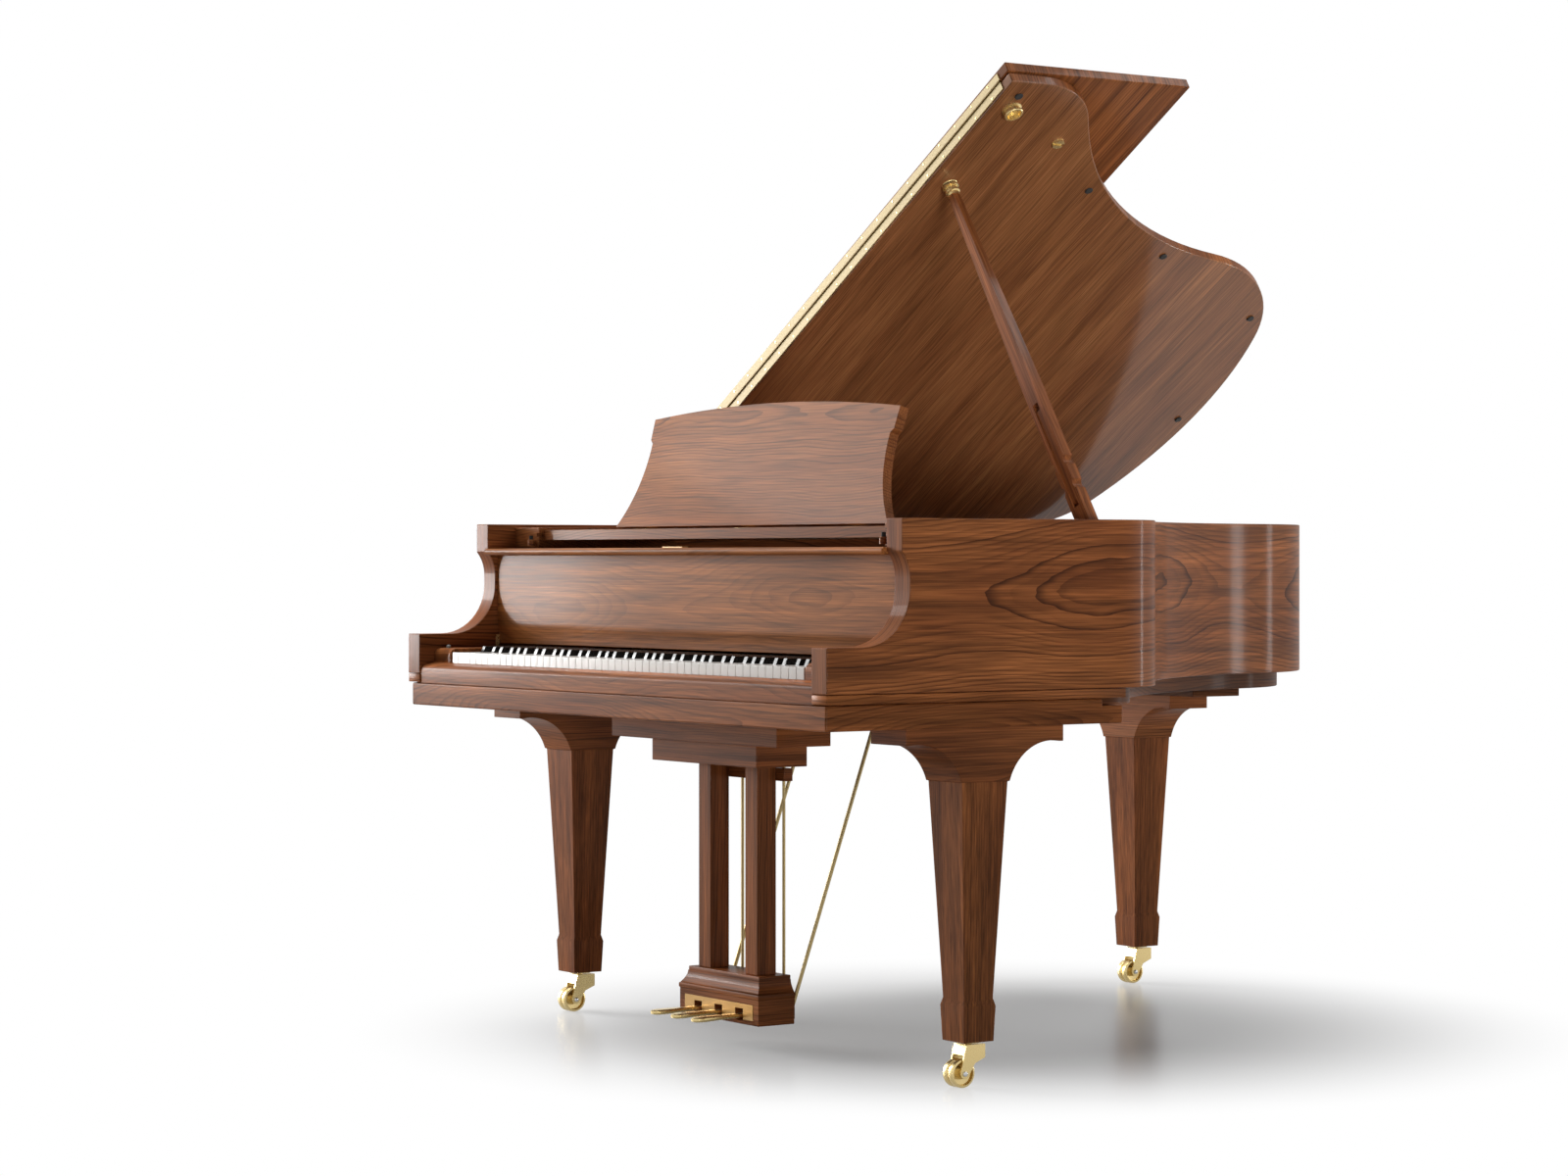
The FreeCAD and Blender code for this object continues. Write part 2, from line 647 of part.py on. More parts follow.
def iron_plate():
    """Cast plate: flange on the soundboard's edge, front web over the pin block, struts over the strings."""
    inset = RIM_WALL + PLATE_CLEAR
    plate = plan(inset, PLATE_FRONT, BOARD_TOP, PLATE_TOP)
    plate = plate.cut(plan(inset + PLATE_FLANGE, STRING_FRONT + PLATE_WEB, BOARD_TOP - 1, PLATE_TOP + 1))
    low = BASS_Z + STRING_R_BASS + PLATE_CLEAR
    high = low + PLATE_STRUT_HEIGHT
    front = STRING_FRONT - PLATE_STRUT_FOOT - PLATE_CLEAR
    spans = plan(inset, front, low, high)
    feet = plan(inset, front, BOARD_TOP, high)
    feet = feet.cut(plan(inset + PLATE_STRUT_FOOT, front + PLATE_STRUT_FOOT, BOARD_TOP - 1, high + 1))
    half = PLATE_STRUT_WIDTH / 2
    for front_x, lean in plate_strut_lines():
        start_x = front_x + (STRING_FRONT - front) * math.tan(lean)
        back_x = start_x - CASE_WIDTH * math.tan(lean)
        corners = [(start_x - half, front), (start_x + half, front), (back_x + half, front + CASE_WIDTH),
                   (back_x - half, front + CASE_WIDTH)]
        face = Part.Face(Part.makePolygon([V(x, y, BOARD_TOP) for x, y in corners + corners[:1]]))
        strut = face.extrude(V(0, 0, high - BOARD_TOP))
        plate = plate.fuse([strut.common(spans), strut.common(feet)])
    return plate.removeSplitter()


def pin_block():
    return box(-ARM_INNER, ARM_INNER, PLATE_FRONT, STRING_FRONT - PIN_BLOCK_GAP,
               BOARD_TOP - PIN_BLOCK_THICKNESS, BOARD_TOP)


def string_ends():
    bass = [(bass_string(index), STRING_R_BASS) for index in range(BASS_COUNT)]
    treble = [(treble_string(index), STRING_R_TREBLE) for index in range(TREBLE_COUNT)]
    return bass + treble


def strings_and_pins():
    """One wire and one tuning pin for each note; the pins stand in staggered rows."""
    solids = []
    for index, ((front, back), radius) in enumerate(string_ends()):
        solids.append(rod(front, back, radius))
        row = PLATE_FRONT + TUNING_FIRST_ROW + TUNING_ROW_STEP * (index % TUNING_ROWS)
        foot = V(front.x, row, PLATE_TOP)
        solids.append(rod(foot, foot + Z_AXIS * TUNING_PIN_ABOVE, TUNING_PIN_R))
    return group(solids)


def dampers():
    """Felt-lined damper heads resting over the strings."""
    heads = []
    for (front, back), radius in string_ends()[:DAMPER_COUNT]:
        share = (DAMPER_Y - front.y) / (back.y - front.y)
        spot = front + (back - front) * share
        low = spot.z + radius + KEY_CLEAR
        heads.append(box(spot.x - DAMPER_WIDTH / 2, spot.x + DAMPER_WIDTH / 2, spot.y - DAMPER_LENGTH / 2,
                         spot.y + DAMPER_LENGTH / 2, low, low + DAMPER_HEIGHT))
    return group(heads)


# Key bed, slip and cheek blocks

def key_bed():
    half = BED_HALF
    back = BED_FRONT + BED_DEPTH
    slab = box(-half, half, BED_FRONT, back, BED_BOTTOM, BED_BOTTOM + BED_THICKNESS)
    step = box(-half + BED_STEP, half - BED_STEP, BED_FRONT + BED_STEP, back + BED_STEP,
               BED_BOTTOM + BED_THICKNESS, BED_TOP)
    room = box(-ARM_INNER, ARM_INNER, 0, SLIP_BACK, BED_BOTTOM + BED_THICKNESS, BED_TOP + 1)
    inner = box(-HALF_CASE, HALF_CASE, BELLY_FRONT, back + 2 * BED_STEP, INNER_BOTTOM, BED_TOP + 1)
    return fused([slab, step]).cut(room).cut(inner)


def key_slip():
    low = BED_BOTTOM + BED_THICKNESS
    front, nose, back = V(0, SLIP_FRONT, 0), V(0, SLIP_FRONT + SLIP_NOSE, 0), V(0, SLIP_BACK, 0)
    front_top = front + Z_AXIS * (SLIP_BACK_TOP - SLIP_FALL)
    nose_top = nose + Z_AXIS * (SLIP_BACK_TOP - SLIP_NOSE / 3)
    back_top = back + Z_AXIS * SLIP_BACK_TOP
    middle = front_top + V(0, SLIP_NOSE / 3, SLIP_FALL / 2)
    front, back = front + Z_AXIS * low, back + Z_AXIS * low
    outline = wire(Part.LineSegment(front, front_top), Part.Arc(front_top, middle, nose_top),
                   Part.LineSegment(nose_top, back_top), Part.LineSegment(back_top, back),
                   Part.LineSegment(back, front))
    return prism_x(outline, -ARM_INNER, ARM_INNER)


def cheek_blocks():
    block = box(ARM_INNER - CHEEK_WIDTH, ARM_INNER, SLIP_BACK, CHEEK_BACK, BED_TOP, CHEEK_TOP)

    def front_top(edge):
        return edge.BoundBox.ZMin > CHEEK_TOP - 1 and edge.BoundBox.YMax < SLIP_BACK + 1

    return group(both_sides(rounded(block, CHEEK_ROUND, front_top)))


# Keys: the pattern of one octave, with tails that share the octave evenly

NOTE_NAMES = ("c", "c_sharp", "d", "d_sharp", "e", "f", "f_sharp", "g", "g_sharp", "a", "a_sharp", "b")
WHITE_STEPS = (0, 2, 4, 5, 7, 9, 11)
FIRST_NOTE = 9
NOTE_COUNT = 88


def tail_span(note):
    """Left and right edge of a key's tail, counted from the middle of the keyboard."""
    octave, step = divmod(note, 12)
    start = octave * 7 * WHITE_PITCH - 5 * WHITE_PITCH - KEYS_HALF
    if step < 5:
        share = 3 * WHITE_PITCH / 5
        left = start + step * share
    else:
        share = 4 * WHITE_PITCH / 7
        left = start + 3 * WHITE_PITCH + (step - 5) * share
    return left, left + share


def white_key(note):
    octave, step = divmod(note, 12)
    place = octave * 7 + WHITE_STEPS.index(step) - 5
    head_left = -KEYS_HALF + place * WHITE_PITCH
    left, right = tail_span(note)
    left, right = max(left, -KEYS_HALF), min(right, KEYS_HALF)
    if note == FIRST_NOTE:
        left = head_left
    if note == FIRST_NOTE + NOTE_COUNT - 1:
        right = head_left + WHITE_PITCH
    half_gap = KEY_GAP / 2
    head = box(head_left + half_gap, head_left + WHITE_PITCH - half_gap, KEY_FRONT, KEY_FRONT + KEY_HEAD,
               KEY_BOTTOM, KEY_TOP)
    tail = box(left + half_gap, right - half_gap, KEY_FRONT + KEY_HEAD - 1, KEY_FRONT + KEY_LENGTH,
               KEY_BOTTOM, KEY_TOP)

    def front_top(edge):
        return edge.BoundBox.ZMin > KEY_TOP - 0.1 and edge.BoundBox.YMax < KEY_FRONT + 0.1

    return fused([rounded(head, KEY_ROUND, front_top), tail])


def black_key(note):
    left, right = tail_span(note)
    middle = (left + right) / 2
    half = (right - left - KEY_GAP) / 2
    start = KEY_FRONT + KEY_HEAD + KEY_GAP
    low, top = KEY_TOP - SHARP_STICK_DROP, KEY_TOP + SHARP_HEIGHT
    stick = box(middle - half, middle + half, start, KEY_FRONT + KEY_LENGTH, KEY_BOTTOM, low)
    side = [(start, low), (start + SHARP_LENGTH, low), (start + SHARP_LENGTH, top), (start + SHARP_SLOPE, top)]
    cap = prism_x(side, middle - SHARP_WIDTH / 2, middle + SHARP_WIDTH / 2)
    cap = rounded(cap, SHARP_ROUND, lambda edge: edge.BoundBox.ZMin > top - 0.1 and along(edge, Y_AXIS))
    return fused([stick, cap])


def balance_ridge(radius):
    """The half-round ridge of the balance rail that the keys rock on."""
    return rod(V(-KEYS_HALF, BALANCE_Y, KEY_BOTTOM), V(KEYS_HALF, BALANCE_Y, KEY_BOTTOM), radius)


def key_group(step):
    """All keys of one pitch name, notched below for the balance rail's ridge."""
    notes = [n for n in range(FIRST_NOTE, FIRST_NOTE + NOTE_COUNT) if n % 12 == step]
    keys = group([white_key(n) if step in WHITE_STEPS else black_key(n) for n in notes])
    return keys.cut(balance_ridge(BALANCE_R + KEY_CLEAR))


# Key frame with its three rails, and the action standing on it

def key_frame():
    half = KEYS_HALF
    low = BED_TOP + SLIDE_CLEAR
    seat = KEY_BOTTOM - KEY_CLEAR
    board_back = HAMMER_Y - HAMMER_DEPTH
    board = box(-half, half, KEY_FRONT, board_back, low, low + FRAME_BOARD)
    balance = box(-half, half, BALANCE_Y - FRAME_RAIL / 2, BALANCE_Y + FRAME_RAIL / 2,
                  low, KEY_BOTTOM - BALANCE_DROP)
    keys_end = KEY_FRONT + KEY_LENGTH
    back = box(-half, half, keys_end - FRAME_RAIL, keys_end, low, seat)
    return fused([board, balance, balance_ridge(BALANCE_R), back])


def action():
    """Action rail on end brackets, with one hammer for each note."""
    half = KEYS_HALF
    rail_low, rail_back = SHANK_Z - SHANK_ON_RAIL, ACTION_RAIL_Y + ACTION_RAIL
    rail = box(-half, half, ACTION_RAIL_Y, rail_back, rail_low, rail_low + ACTION_RAIL)
    bracket = box(half - ACTION_BRACKET, half, ACTION_RAIL_Y, rail_back,
                  BED_TOP + SLIDE_CLEAR + FRAME_BOARD, rail_low)
    solids = [fused([rail] + both_sides(bracket))]
    for (front, back), radius in string_ends():
        head_top = STRING_Z - HAMMER_REST
        middle = max(-half + HAMMER_WIDTH, min(half - HAMMER_WIDTH, front.x))
        head = box(middle - HAMMER_WIDTH / 2, middle + HAMMER_WIDTH / 2, HAMMER_Y - HAMMER_DEPTH / 2,
                   HAMMER_Y + HAMMER_DEPTH / 2, head_top - HAMMER_HEIGHT, head_top)
        shank = rod(V(middle, rail_back, SHANK_Z), V(middle, HAMMER_Y, SHANK_Z), SHANK_R)
        solids.append(fused([head, shank]))
    return group(solids)


# Fallboard: a board with a rolled foot and a half-round lip along its top

def fallboard():
    half = ARM_INNER - FALL_CLEAR
    back = FALL_FACE + FALL_THICKNESS
    pivot = V(0, FALL_PIVOT_Y, FALL_PIVOT_Z)
    face_top, back_top = V(0, FALL_FACE, FALL_TOP), V(0, back, FALL_TOP)
    turn = V(0, FALL_FACE, FALL_PIVOT_Z + FALL_TURN)
    sag = turn + V(0, FALL_TURN_SAG[0], -FALL_TURN_SAG[1])
    foot = pivot - Z_AXIS * FALL_FOOT_R
    toe = foot - Y_AXIS * FALL_FOOT_R
    rear, top = pivot + Y_AXIS * FALL_FOOT_R, pivot + Z_AXIS * FALL_FOOT_R
    heel = V(0, back, FALL_PIVOT_Z + FALL_HEEL)
    outline = wire(
        Part.LineSegment(face_top, turn), Part.Arc(turn, sag, toe), Part.LineSegment(toe, foot),
        Part.Arc(foot, rear, top), Part.LineSegment(top, heel), Part.LineSegment(heel, back_top),
        Part.LineSegment(back_top, face_top))
    board = prism_x(outline, -half, half)
    nose = LIP_HEIGHT / 2
    front = FALL_FACE - LIP_DEPTH + nose
    lip_outline = wire(
        Part.LineSegment(V(0, back, FALL_TOP), V(0, back, FALL_TOP - LIP_HEIGHT)),
        Part.LineSegment(V(0, back, FALL_TOP - LIP_HEIGHT), V(0, front, FALL_TOP - LIP_HEIGHT)),
        Part.Arc(V(0, front, FALL_TOP - LIP_HEIGHT), V(0, front - nose, FALL_TOP - nose),
                 V(0, front, FALL_TOP)),
        Part.LineSegment(V(0, front, FALL_TOP), V(0, back, FALL_TOP)))
    return fused([board, prism_x(lip_outline, -half, half)])


def fallboard_lock():
    middle = LOCK_WIDTH / 2
    front = FALL_FACE - LIP_DEPTH + LIP_HEIGHT
    return box(-middle, middle, front, front + LOCK_DEPTH, FALL_TOP, FALL_TOP + BRASS_LEAF)


# Music desk on its sliding tray

def desk_rails():
    front = TRAY_FRONT - RAIL_LEAD
    rail = box(TRAY_HALF, ARM_INNER, front, TRAY_BACK, RAIL_BOTTOM, RAIL_TOP)
    low, high = groove()
    slot = box(TRAY_HALF - 1, TRAY_HALF + TRAY_TONGUE + SLIDE_CLEAR, front - 1, TRAY_BACK + 1,
               low - SLIDE_CLEAR, high + SLIDE_CLEAR)
    return group(both_sides(rail.cut(slot)))


def groove():
    """Bottom and top of the tongue that runs in the side rails."""
    third = TRAY_THICKNESS / 3
    return TRAY_BOTTOM + third, TRAY_TOP - third


def desk_tray():
    half = TRAY_HALF - SLIDE_CLEAR
    low, high = groove()
    board = box(-half, half, TRAY_FRONT, TRAY_BACK, TRAY_BOTTOM, TRAY_TOP)
    tongue = box(-TRAY_HALF - TRAY_TONGUE + SLIDE_CLEAR, TRAY_HALF + TRAY_TONGUE - SLIDE_CLEAR,
                 TRAY_FRONT, TRAY_BACK, low, high)
    return fused([board, tongue] + desk_barrels(0))


def desk_barrels(clear):
    """Barrels of the two hinges under the desk's rear edge."""
    end = DESK_BARREL_LENGTH / 2 + clear
    spots = [V(x, DESK_HINGE_Y, TRAY_TOP + SLIDE_CLEAR) for x in (-DESK_BARREL_X, DESK_BARREL_X)]
    return [rod(spot - X_AXIS * end, spot + X_AXIS * end, DESK_BARREL_R + clear) for spot in spots]


def leaned(shape):
    """Set a piece drawn on the upright desk on the tray, leaning back."""
    turned = shape.copy()
    turned.rotate(V(0, 0, 0), X_AXIS, -DESK_LEAN)
    turned.translate(V(0, DESK_HINGE_Y, TRAY_TOP + SLIDE_CLEAR))
    return turned


def music_desk():
    """Flared board with shoulders and an arched crown, pocketed behind for its strut."""
    foot, waist, top = DESK_HALF_FOOT, DESK_HALF_WAIST, DESK_HALF_TOP
    shoulder, corner = DESK_SHOULDER, DESK_CORNER

    def side(sign):
        return [V(sign * foot, 0, 0), V(sign * (waist + DESK_FLARE[0]), 0, shoulder * DESK_FLARE[1]),
                V(sign * waist, 0, shoulder),
                V(sign * (waist + DESK_SHOULDER_STEP[0]), 0, shoulder + DESK_SHOULDER_STEP[1]),
                V(sign * top, 0, corner)]

    right, left = side(1), side(-1)
    outline = wire(
        Part.Arc(right[0], right[1], right[2]), Part.LineSegment(right[2], right[3]),
        Part.LineSegment(right[3], right[4]), Part.Arc(right[4], V(0, 0, DESK_CROWN), left[4]),
        Part.LineSegment(left[4], left[3]), Part.LineSegment(left[3], left[2]),
        Part.Arc(left[2], left[1], left[0]), Part.LineSegment(left[0], right[0]))
    board = prism_y(outline, -DESK_THICKNESS, 0)
    room = STRUT_THICKNESS + 2 * STRUT_ROOM
    half = STRUT_WIDTH / 2 + STRUT_ROOM
    pocket = box(-half, half, -room, 1, STRUT_PIVOT - room, STRUT_PIVOT + STRUT_LENGTH + room)
    return leaned(board.cut(pocket)).cut(Part.makeCompound(desk_barrels(SLIDE_CLEAR)))


def strut_angle():
    """How far the strut swings out of its pocket to stand on the tray."""
    lean = math.radians(DESK_LEAN)
    depth = STRUT_THICKNESS / 2 + STRUT_ROOM
    height = SLIDE_CLEAR + STRUT_PIVOT * math.cos(lean) + depth * math.sin(lean)
    drop = height - STRUT_THICKNESS / 2 - STRUT_SEAT
    return 90 - DESK_LEAN + math.degrees(math.asin(drop / STRUT_LENGTH))


def desk_strut():
    round_r = STRUT_THICKNESS / 2
    half = STRUT_WIDTH / 2
    y = -round_r - STRUT_ROOM
    bar = box(-half, half, y - round_r, y + round_r, STRUT_PIVOT, STRUT_PIVOT + STRUT_LENGTH)
    ends = [rod(V(-half, y, z), V(half, y, z), round_r) for z in (STRUT_PIVOT, STRUT_PIVOT + STRUT_LENGTH)]
    strut = fused([bar] + ends)
    strut.rotate(V(0, y, STRUT_PIVOT), X_AXIS, -strut_angle())
    return leaned(strut)


# Lid, hinges along the spine, and the folded front flap

def main_lid():
    board = plan(-LID_OVERHANG, LID_FRONT, LID_BOTTOM, LID_TOP)
    spine = box(-CASE_WIDTH, LID_SPINE, 0, 3 * CASE_WIDTH, LID_BOTTOM - 1, LID_TOP + 1)
    return opened(board.cut(spine))


def front_lid():
    back = LID_FRONT - 2 * BRASS_LEAF
    board = box(LID_SPINE, LID_TREBLE, back - FLAP_DEPTH, back, LID_BOTTOM, LID_TOP)
    return folded(board)


def flap_leaf(sign):
    """Brass strip on one of the two edges that meet at the flap's hinge."""
    y = sorted((FLAP_AXIS_Y, FLAP_AXIS_Y + sign * BRASS_LEAF))
    return box(LID_SPINE, LID_TREBLE - FLAP_HINGE_END, y[0], y[1], LID_BOTTOM + 1, LID_TOP - 0.5)


def flap_hinge_leaf():
    return folded(flap_leaf(-1))


def lid_hinge_leaves():
    """Leaves and middle knuckles of the spine hinges, with the flap hinge's rear leaf and rolled edge."""
    third = HINGE_LENGTH / 3
    solids = []
    for place in HINGE_PLACES:
        low, high = place - third / 2 + 0.3, place + third / 2 - 0.3
        knuckle = rod(V(HINGE_X, low, HINGE_Z), V(HINGE_X, high, HINGE_Z), KNUCKLE_R)
        leaf = box(LID_SPINE - HINGE_LEAF + 1, LID_SPINE, low, high, HINGE_Z, LID_TOP - 2)
        bore = rod(V(HINGE_X, low - 1, HINGE_Z), V(HINGE_X, high + 1, HINGE_Z), PIN_R + PIN_CLEAR)
        solids.append(fused([knuckle, leaf]).cut(bore))
    roll = rod(V(LID_SPINE, FLAP_AXIS_Y, FLAP_AXIS_Z), V(LID_TREBLE - FLAP_HINGE_END, FLAP_AXIS_Y, FLAP_AXIS_Z),
               FLAP_HINGE_R - 0.3)
    stand = box(LID_SPINE, LID_TREBLE - FLAP_HINGE_END, FLAP_AXIS_Y, LID_FRONT, LID_TOP - 0.5, FLAP_AXIS_Z)
    solids.append(fused([flap_leaf(1), stand, roll]))
    return opened(group(solids))


def case_hinges():
    """Case leaves, end knuckles and pins of the spine hinges, and the bracket that carries the lid prop."""
    third = HINGE_LENGTH / 3
    solids = []
    for place in HINGE_PLACES:
        start, end = place - HINGE_LENGTH / 2, place + HINGE_LENGTH / 2
        knuckles = [rod(V(HINGE_X, y, HINGE_Z), V(HINGE_X, y + third, HINGE_Z), KNUCKLE_R)
                    for y in (start, end - third)]
        pin = rod(V(HINGE_X, start, HINGE_Z), V(HINGE_X, end, HINGE_Z), PIN_R)
        leaves = [box(-HALF_CASE - HINGE_LEAF, -HALF_CASE, y, y + third, RIM_TOP - HINGE_LEAF_HEIGHT,
                      HINGE_Z - HINGE_LEAF) for y in (start, end - third)]
        rolls = [box(HINGE_X, -HALF_CASE, y, y + third, HINGE_Z - HINGE_LEAF, HINGE_Z)
                 for y in (start, end - third)]
        web = box(-HALF_CASE - HINGE_LEAF, -HALF_CASE, start, end, RIM_TOP - HINGE_LEAF_HEIGHT,
                  RIM_TOP - HINGE_WEB_DROP)
        solids.append(fused(knuckles + [pin] + leaves + rolls + [web]))
    solids.append(prop_bracket())
    return group(solids)


def prop_bracket():
    """Base on the rim, two ears and the pin, drawn square over the prop's foot and then turned to the prop."""
    reach = ARM_INNER - PROP_FOOT[0]
    inner = PROP_DEPTH / 2 + SLIDE_CLEAR
    ears = [box(-EAR_R, reach - EAR_WALL / 2, y, y + EAR_WALL, -EAR_R, EAR_R)
            for y in (inner, -inner - EAR_WALL)]
    pin = rod(V(0, -inner - EAR_WALL, 0), V(0, inner + EAR_WALL, 0), PROP_PIN_R)
    turned = [headed(shape) for shape in ears + [pin]]
    wide, high = BRACKET_BASE[0] / 2, BRACKET_BASE[1] / 2
    base = box(reach - EAR_WALL, reach, -wide, wide, -high, high)
    bracket = fused([base] + turned)
    bracket.translate(V(*PROP_FOOT))
    return bracket.common(plan(RIM_WALL, 0, RIM_BOTTOM, RIM_TOP))


# Lid prop, hinged inside the treble rim, with the short prop lying in its slot

def cup_seat():
    """Where the prop's tip meets the cup on the opened lid."""
    inset, back = PROP_CUP
    spot = Part.Vertex(on_lid(inset, LID_FRONT + back, BRASS_LEAF + CUP_CLEAR))
    return opened(spot).Point


def prop_reach():
    return cup_seat() - V(*PROP_FOOT)


def headed(shape):
    """Turn a piece drawn square over the prop's foot to face the way the prop leans."""
    reach = prop_reach()
    turned = shape.copy()
    turned.rotate(V(0, 0, 0), Z_AXIS, math.degrees(math.atan2(-reach.y, -reach.x)))
    return turned


def raised(shape):
    """Lean a prop drawn upright over its foot against the opened lid."""
    reach = prop_reach()
    turned = shape.copy()
    turned.rotate(V(0, 0, 0), Y_AXIS, -math.degrees(math.atan2(math.hypot(reach.x, reach.y), reach.z)))
    turned = headed(turned)
    turned.translate(V(*PROP_FOOT))
    return turned


def lid_prop():
    length, half, deep = prop_reach().Length, PROP_WIDTH / 2, PROP_DEPTH / 2
    tip = PROP_TIP / 2
    low = [V(-half, -deep, 0), V(half, -deep, 0), V(half, deep, 0), V(-half, deep, 0), V(-half, -deep, 0)]
    shoulder = PROP_SLOT_START + SHORT_PROP_LENGTH + PROP_TAPER
    top_z = length - tip
    top = [V(x * tip, y * tip, top_z) for x, y in ((-1, -1), (1, -1), (1, 1), (-1, 1), (-1, -1))]
    middle = [corner + Z_AXIS * shoulder for corner in low]
    lower = Part.makeLoft([Part.makePolygon(low), Part.makePolygon(middle)], True, True)
    upper = Part.makeLoft([Part.makePolygon(middle), Part.makePolygon(top)], True, True)
    eye = rod(V(0, -deep, 0), V(0, deep, 0), half)
    nose = Part.makeSphere(tip, V(0, 0, top_z))
    stick = fused([lower, upper, eye, nose])
    bore = rod(V(0, -deep - 1, 0), V(0, deep + 1, 0), PROP_PIN_R + RUN_CLEAR)
    slot = box(-PROP_SLOT / 2, PROP_SLOT / 2, -deep - 1, deep + 1, PROP_SLOT_START,
               PROP_SLOT_START + SHORT_PROP_LENGTH + 2 * PROP_SLOT)
    scallops = []
    for z in SCALLOP_PLACES:
        for x in (half + SCALLOP_OUT, -half - SCALLOP_OUT):
            at = V(x, 0, PROP_SLOT_START + z)
            scallops.append(rod(at - Y_AXIS * (deep + 1), at + Y_AXIS * (deep + 1), SCALLOP_R))
    pin_z = PROP_SLOT_START + SHORT_PROP_PIN
    pin = rod(V(-half, 0, pin_z), V(half, 0, pin_z), PIN_R)
    return raised(fused([stick.cut(Part.makeCompound([bore, slot] + scallops)), pin]))


def short_prop():
    half = SHORT_PROP_WIDTH / 2
    deep = PROP_DEPTH / 2 - SHORT_PROP_INSET
    foot = PROP_SLOT_START + SHORT_PROP_PIN
    bar = box(-half, half, -deep, deep, foot, foot + SHORT_PROP_LENGTH)
    eye = rod(V(-half, 0, foot), V(half, 0, foot), deep)
    bore = rod(V(-half - 1, 0, foot), V(half + 1, 0, foot), PIN_R + PIN_CLEAR)
    return raised(fused([bar, eye]).cut(bore))


# Brass and rubber fittings on the lid's underside

def lid_fittings():
    """Cup plates for the two props and the slotted lock knob."""
    solids = []
    for (inset, back), depth, radius in ((PROP_CUP, BRASS_LEAF, CUP_R), (SHORT_CUP, BRASS_LEAF, CUP_R),
                                         (LOCK_KNOB, KNOB_HEIGHT, CUP_R / 2)):
        y = LID_FRONT + back
        solids.append(rod(on_lid(inset, y, 0), on_lid(inset, y, depth), radius))
    return opened(group(solids))


def lid_buttons():
    """Rubber buttons that keep the closed lid off the rim."""
    places = [(FRONT_BUTTON[0], LID_FRONT + FRONT_BUTTON[1])]
    places += [(inset, SIDE_LENGTH + back) for inset, back in BACK_BUTTONS]
    depth = LID_GAP - RUN_CLEAR
    return opened(group([rod(on_lid(inset, y, 0), on_lid(inset, y, depth), BUTTON_R) for inset, y in places]))


# Legs: bracket, tapered square shaft and collared foot

def leg(x, y, along_x):
    levels = ((LEG_TOP_SIZE, SHAFT_TOP), (LEG_ANKLE_SIZE, ANKLE_Z), (COLLAR_SIZE, COLLAR_Z),
              (LEG_FOOT_SIZE, FOOT_Z))
    rings = [square(size, z, x, y) for size, z in levels]
    turned = [Part.makeLoft([rings[i], rings[i + 1]], True, True) for i in range(3)]
    stem_hole = rod(V(x, y, FOOT_Z - 1), V(x, y, FOOT_Z + STEM_DEPTH + RUN_CLEAR), STEM_R + RUN_CLEAR)
    end, inner = BRACKET_LENGTH / 2, LEG_TOP_SIZE / 2 + BRACKET_LIP
    edge_z = BED_BOTTOM - BRACKET_EDGE
    curve = math.sqrt(0.5)

    def flare(sign):
        tip = end - BRACKET_STEP
        mid = V(0, sign * (tip - (tip - inner) * curve), SHAFT_TOP + (edge_z - SHAFT_TOP) * curve)
        return V(0, sign * inner, SHAFT_TOP), mid, V(0, sign * tip, edge_z)

    left, right = flare(-1), flare(1)
    corners = [V(0, -end, edge_z), V(0, -end, BED_BOTTOM), V(0, end, BED_BOTTOM), V(0, end, edge_z)]
    outline = wire(
        Part.LineSegment(left[0], right[0]), Part.Arc(*right), Part.LineSegment(right[2], corners[3]),
        Part.LineSegment(corners[3], corners[2]), Part.LineSegment(corners[2], corners[1]),
        Part.LineSegment(corners[1], corners[0]), Part.LineSegment(corners[0], left[2]),
        Part.Arc(left[2], left[1], left[0]))
    bracket = prism_x(outline, -BRACKET_WIDTH / 2, BRACKET_WIDTH / 2)
    if along_x:
        bracket.rotate(V(0, 0, 0), Z_AXIS, 90)
    bracket.translate(V(x, y, 0))
    return fused(turned + [bracket]).cut(stem_hole)


# Casters: a swivelling fork with a pair of wheels on one axle

def caster_fork(x, y):
    inner = WHEEL_WIDTH + WHEEL_GROOVE / 2 + FORK_CLEAR
    outer = inner + FORK_WALL
    hub = V(0, -CASTER_TRAIL, WHEEL_R)
    boss = FORK_BOSS_R
    cheek_line = [(-FORK_FRONT, FORK_TOP), (FORK_BACK, FORK_TOP), (FORK_BACK, FORK_TOP - FORK_BACK),
                  (2, hub.z + 17), (hub.y + boss - 1, hub.z - 5), (hub.y - boss + 1, hub.z - 5),
                  (hub.y - boss, hub.z + 3)]
    cheek = prism_x(cheek_line, inner, outer)
    cheek = cheek.fuse(rod(hub + X_AXIS * inner, hub + X_AXIS * outer, boss))
    roof = box(-outer, outer, -FORK_FRONT, FORK_BACK, FORK_TOP - FORK_ROOF, FORK_TOP)
    apron_low = FORK_TOP - APRON_DROP
    apron = prism_x([(-FORK_FRONT, FORK_TOP), (-FORK_FRONT + APRON_THICKNESS, FORK_TOP),
                     (-FORK_FRONT, apron_low), (-FORK_FRONT - APRON_THICKNESS, apron_low)], -outer, outer)
    stem = rod(V(0, 0, FORK_TOP), V(0, 0, FOOT_Z + STEM_DEPTH), STEM_R)
    axle = rod(hub - X_AXIS * (outer + AXLE_END), hub + X_AXIS * (outer + AXLE_END), AXLE_R)
    fork = fused(both_sides(cheek) + [roof, apron, stem, axle])
    fork.translate(V(x, y, 0))
    return fork


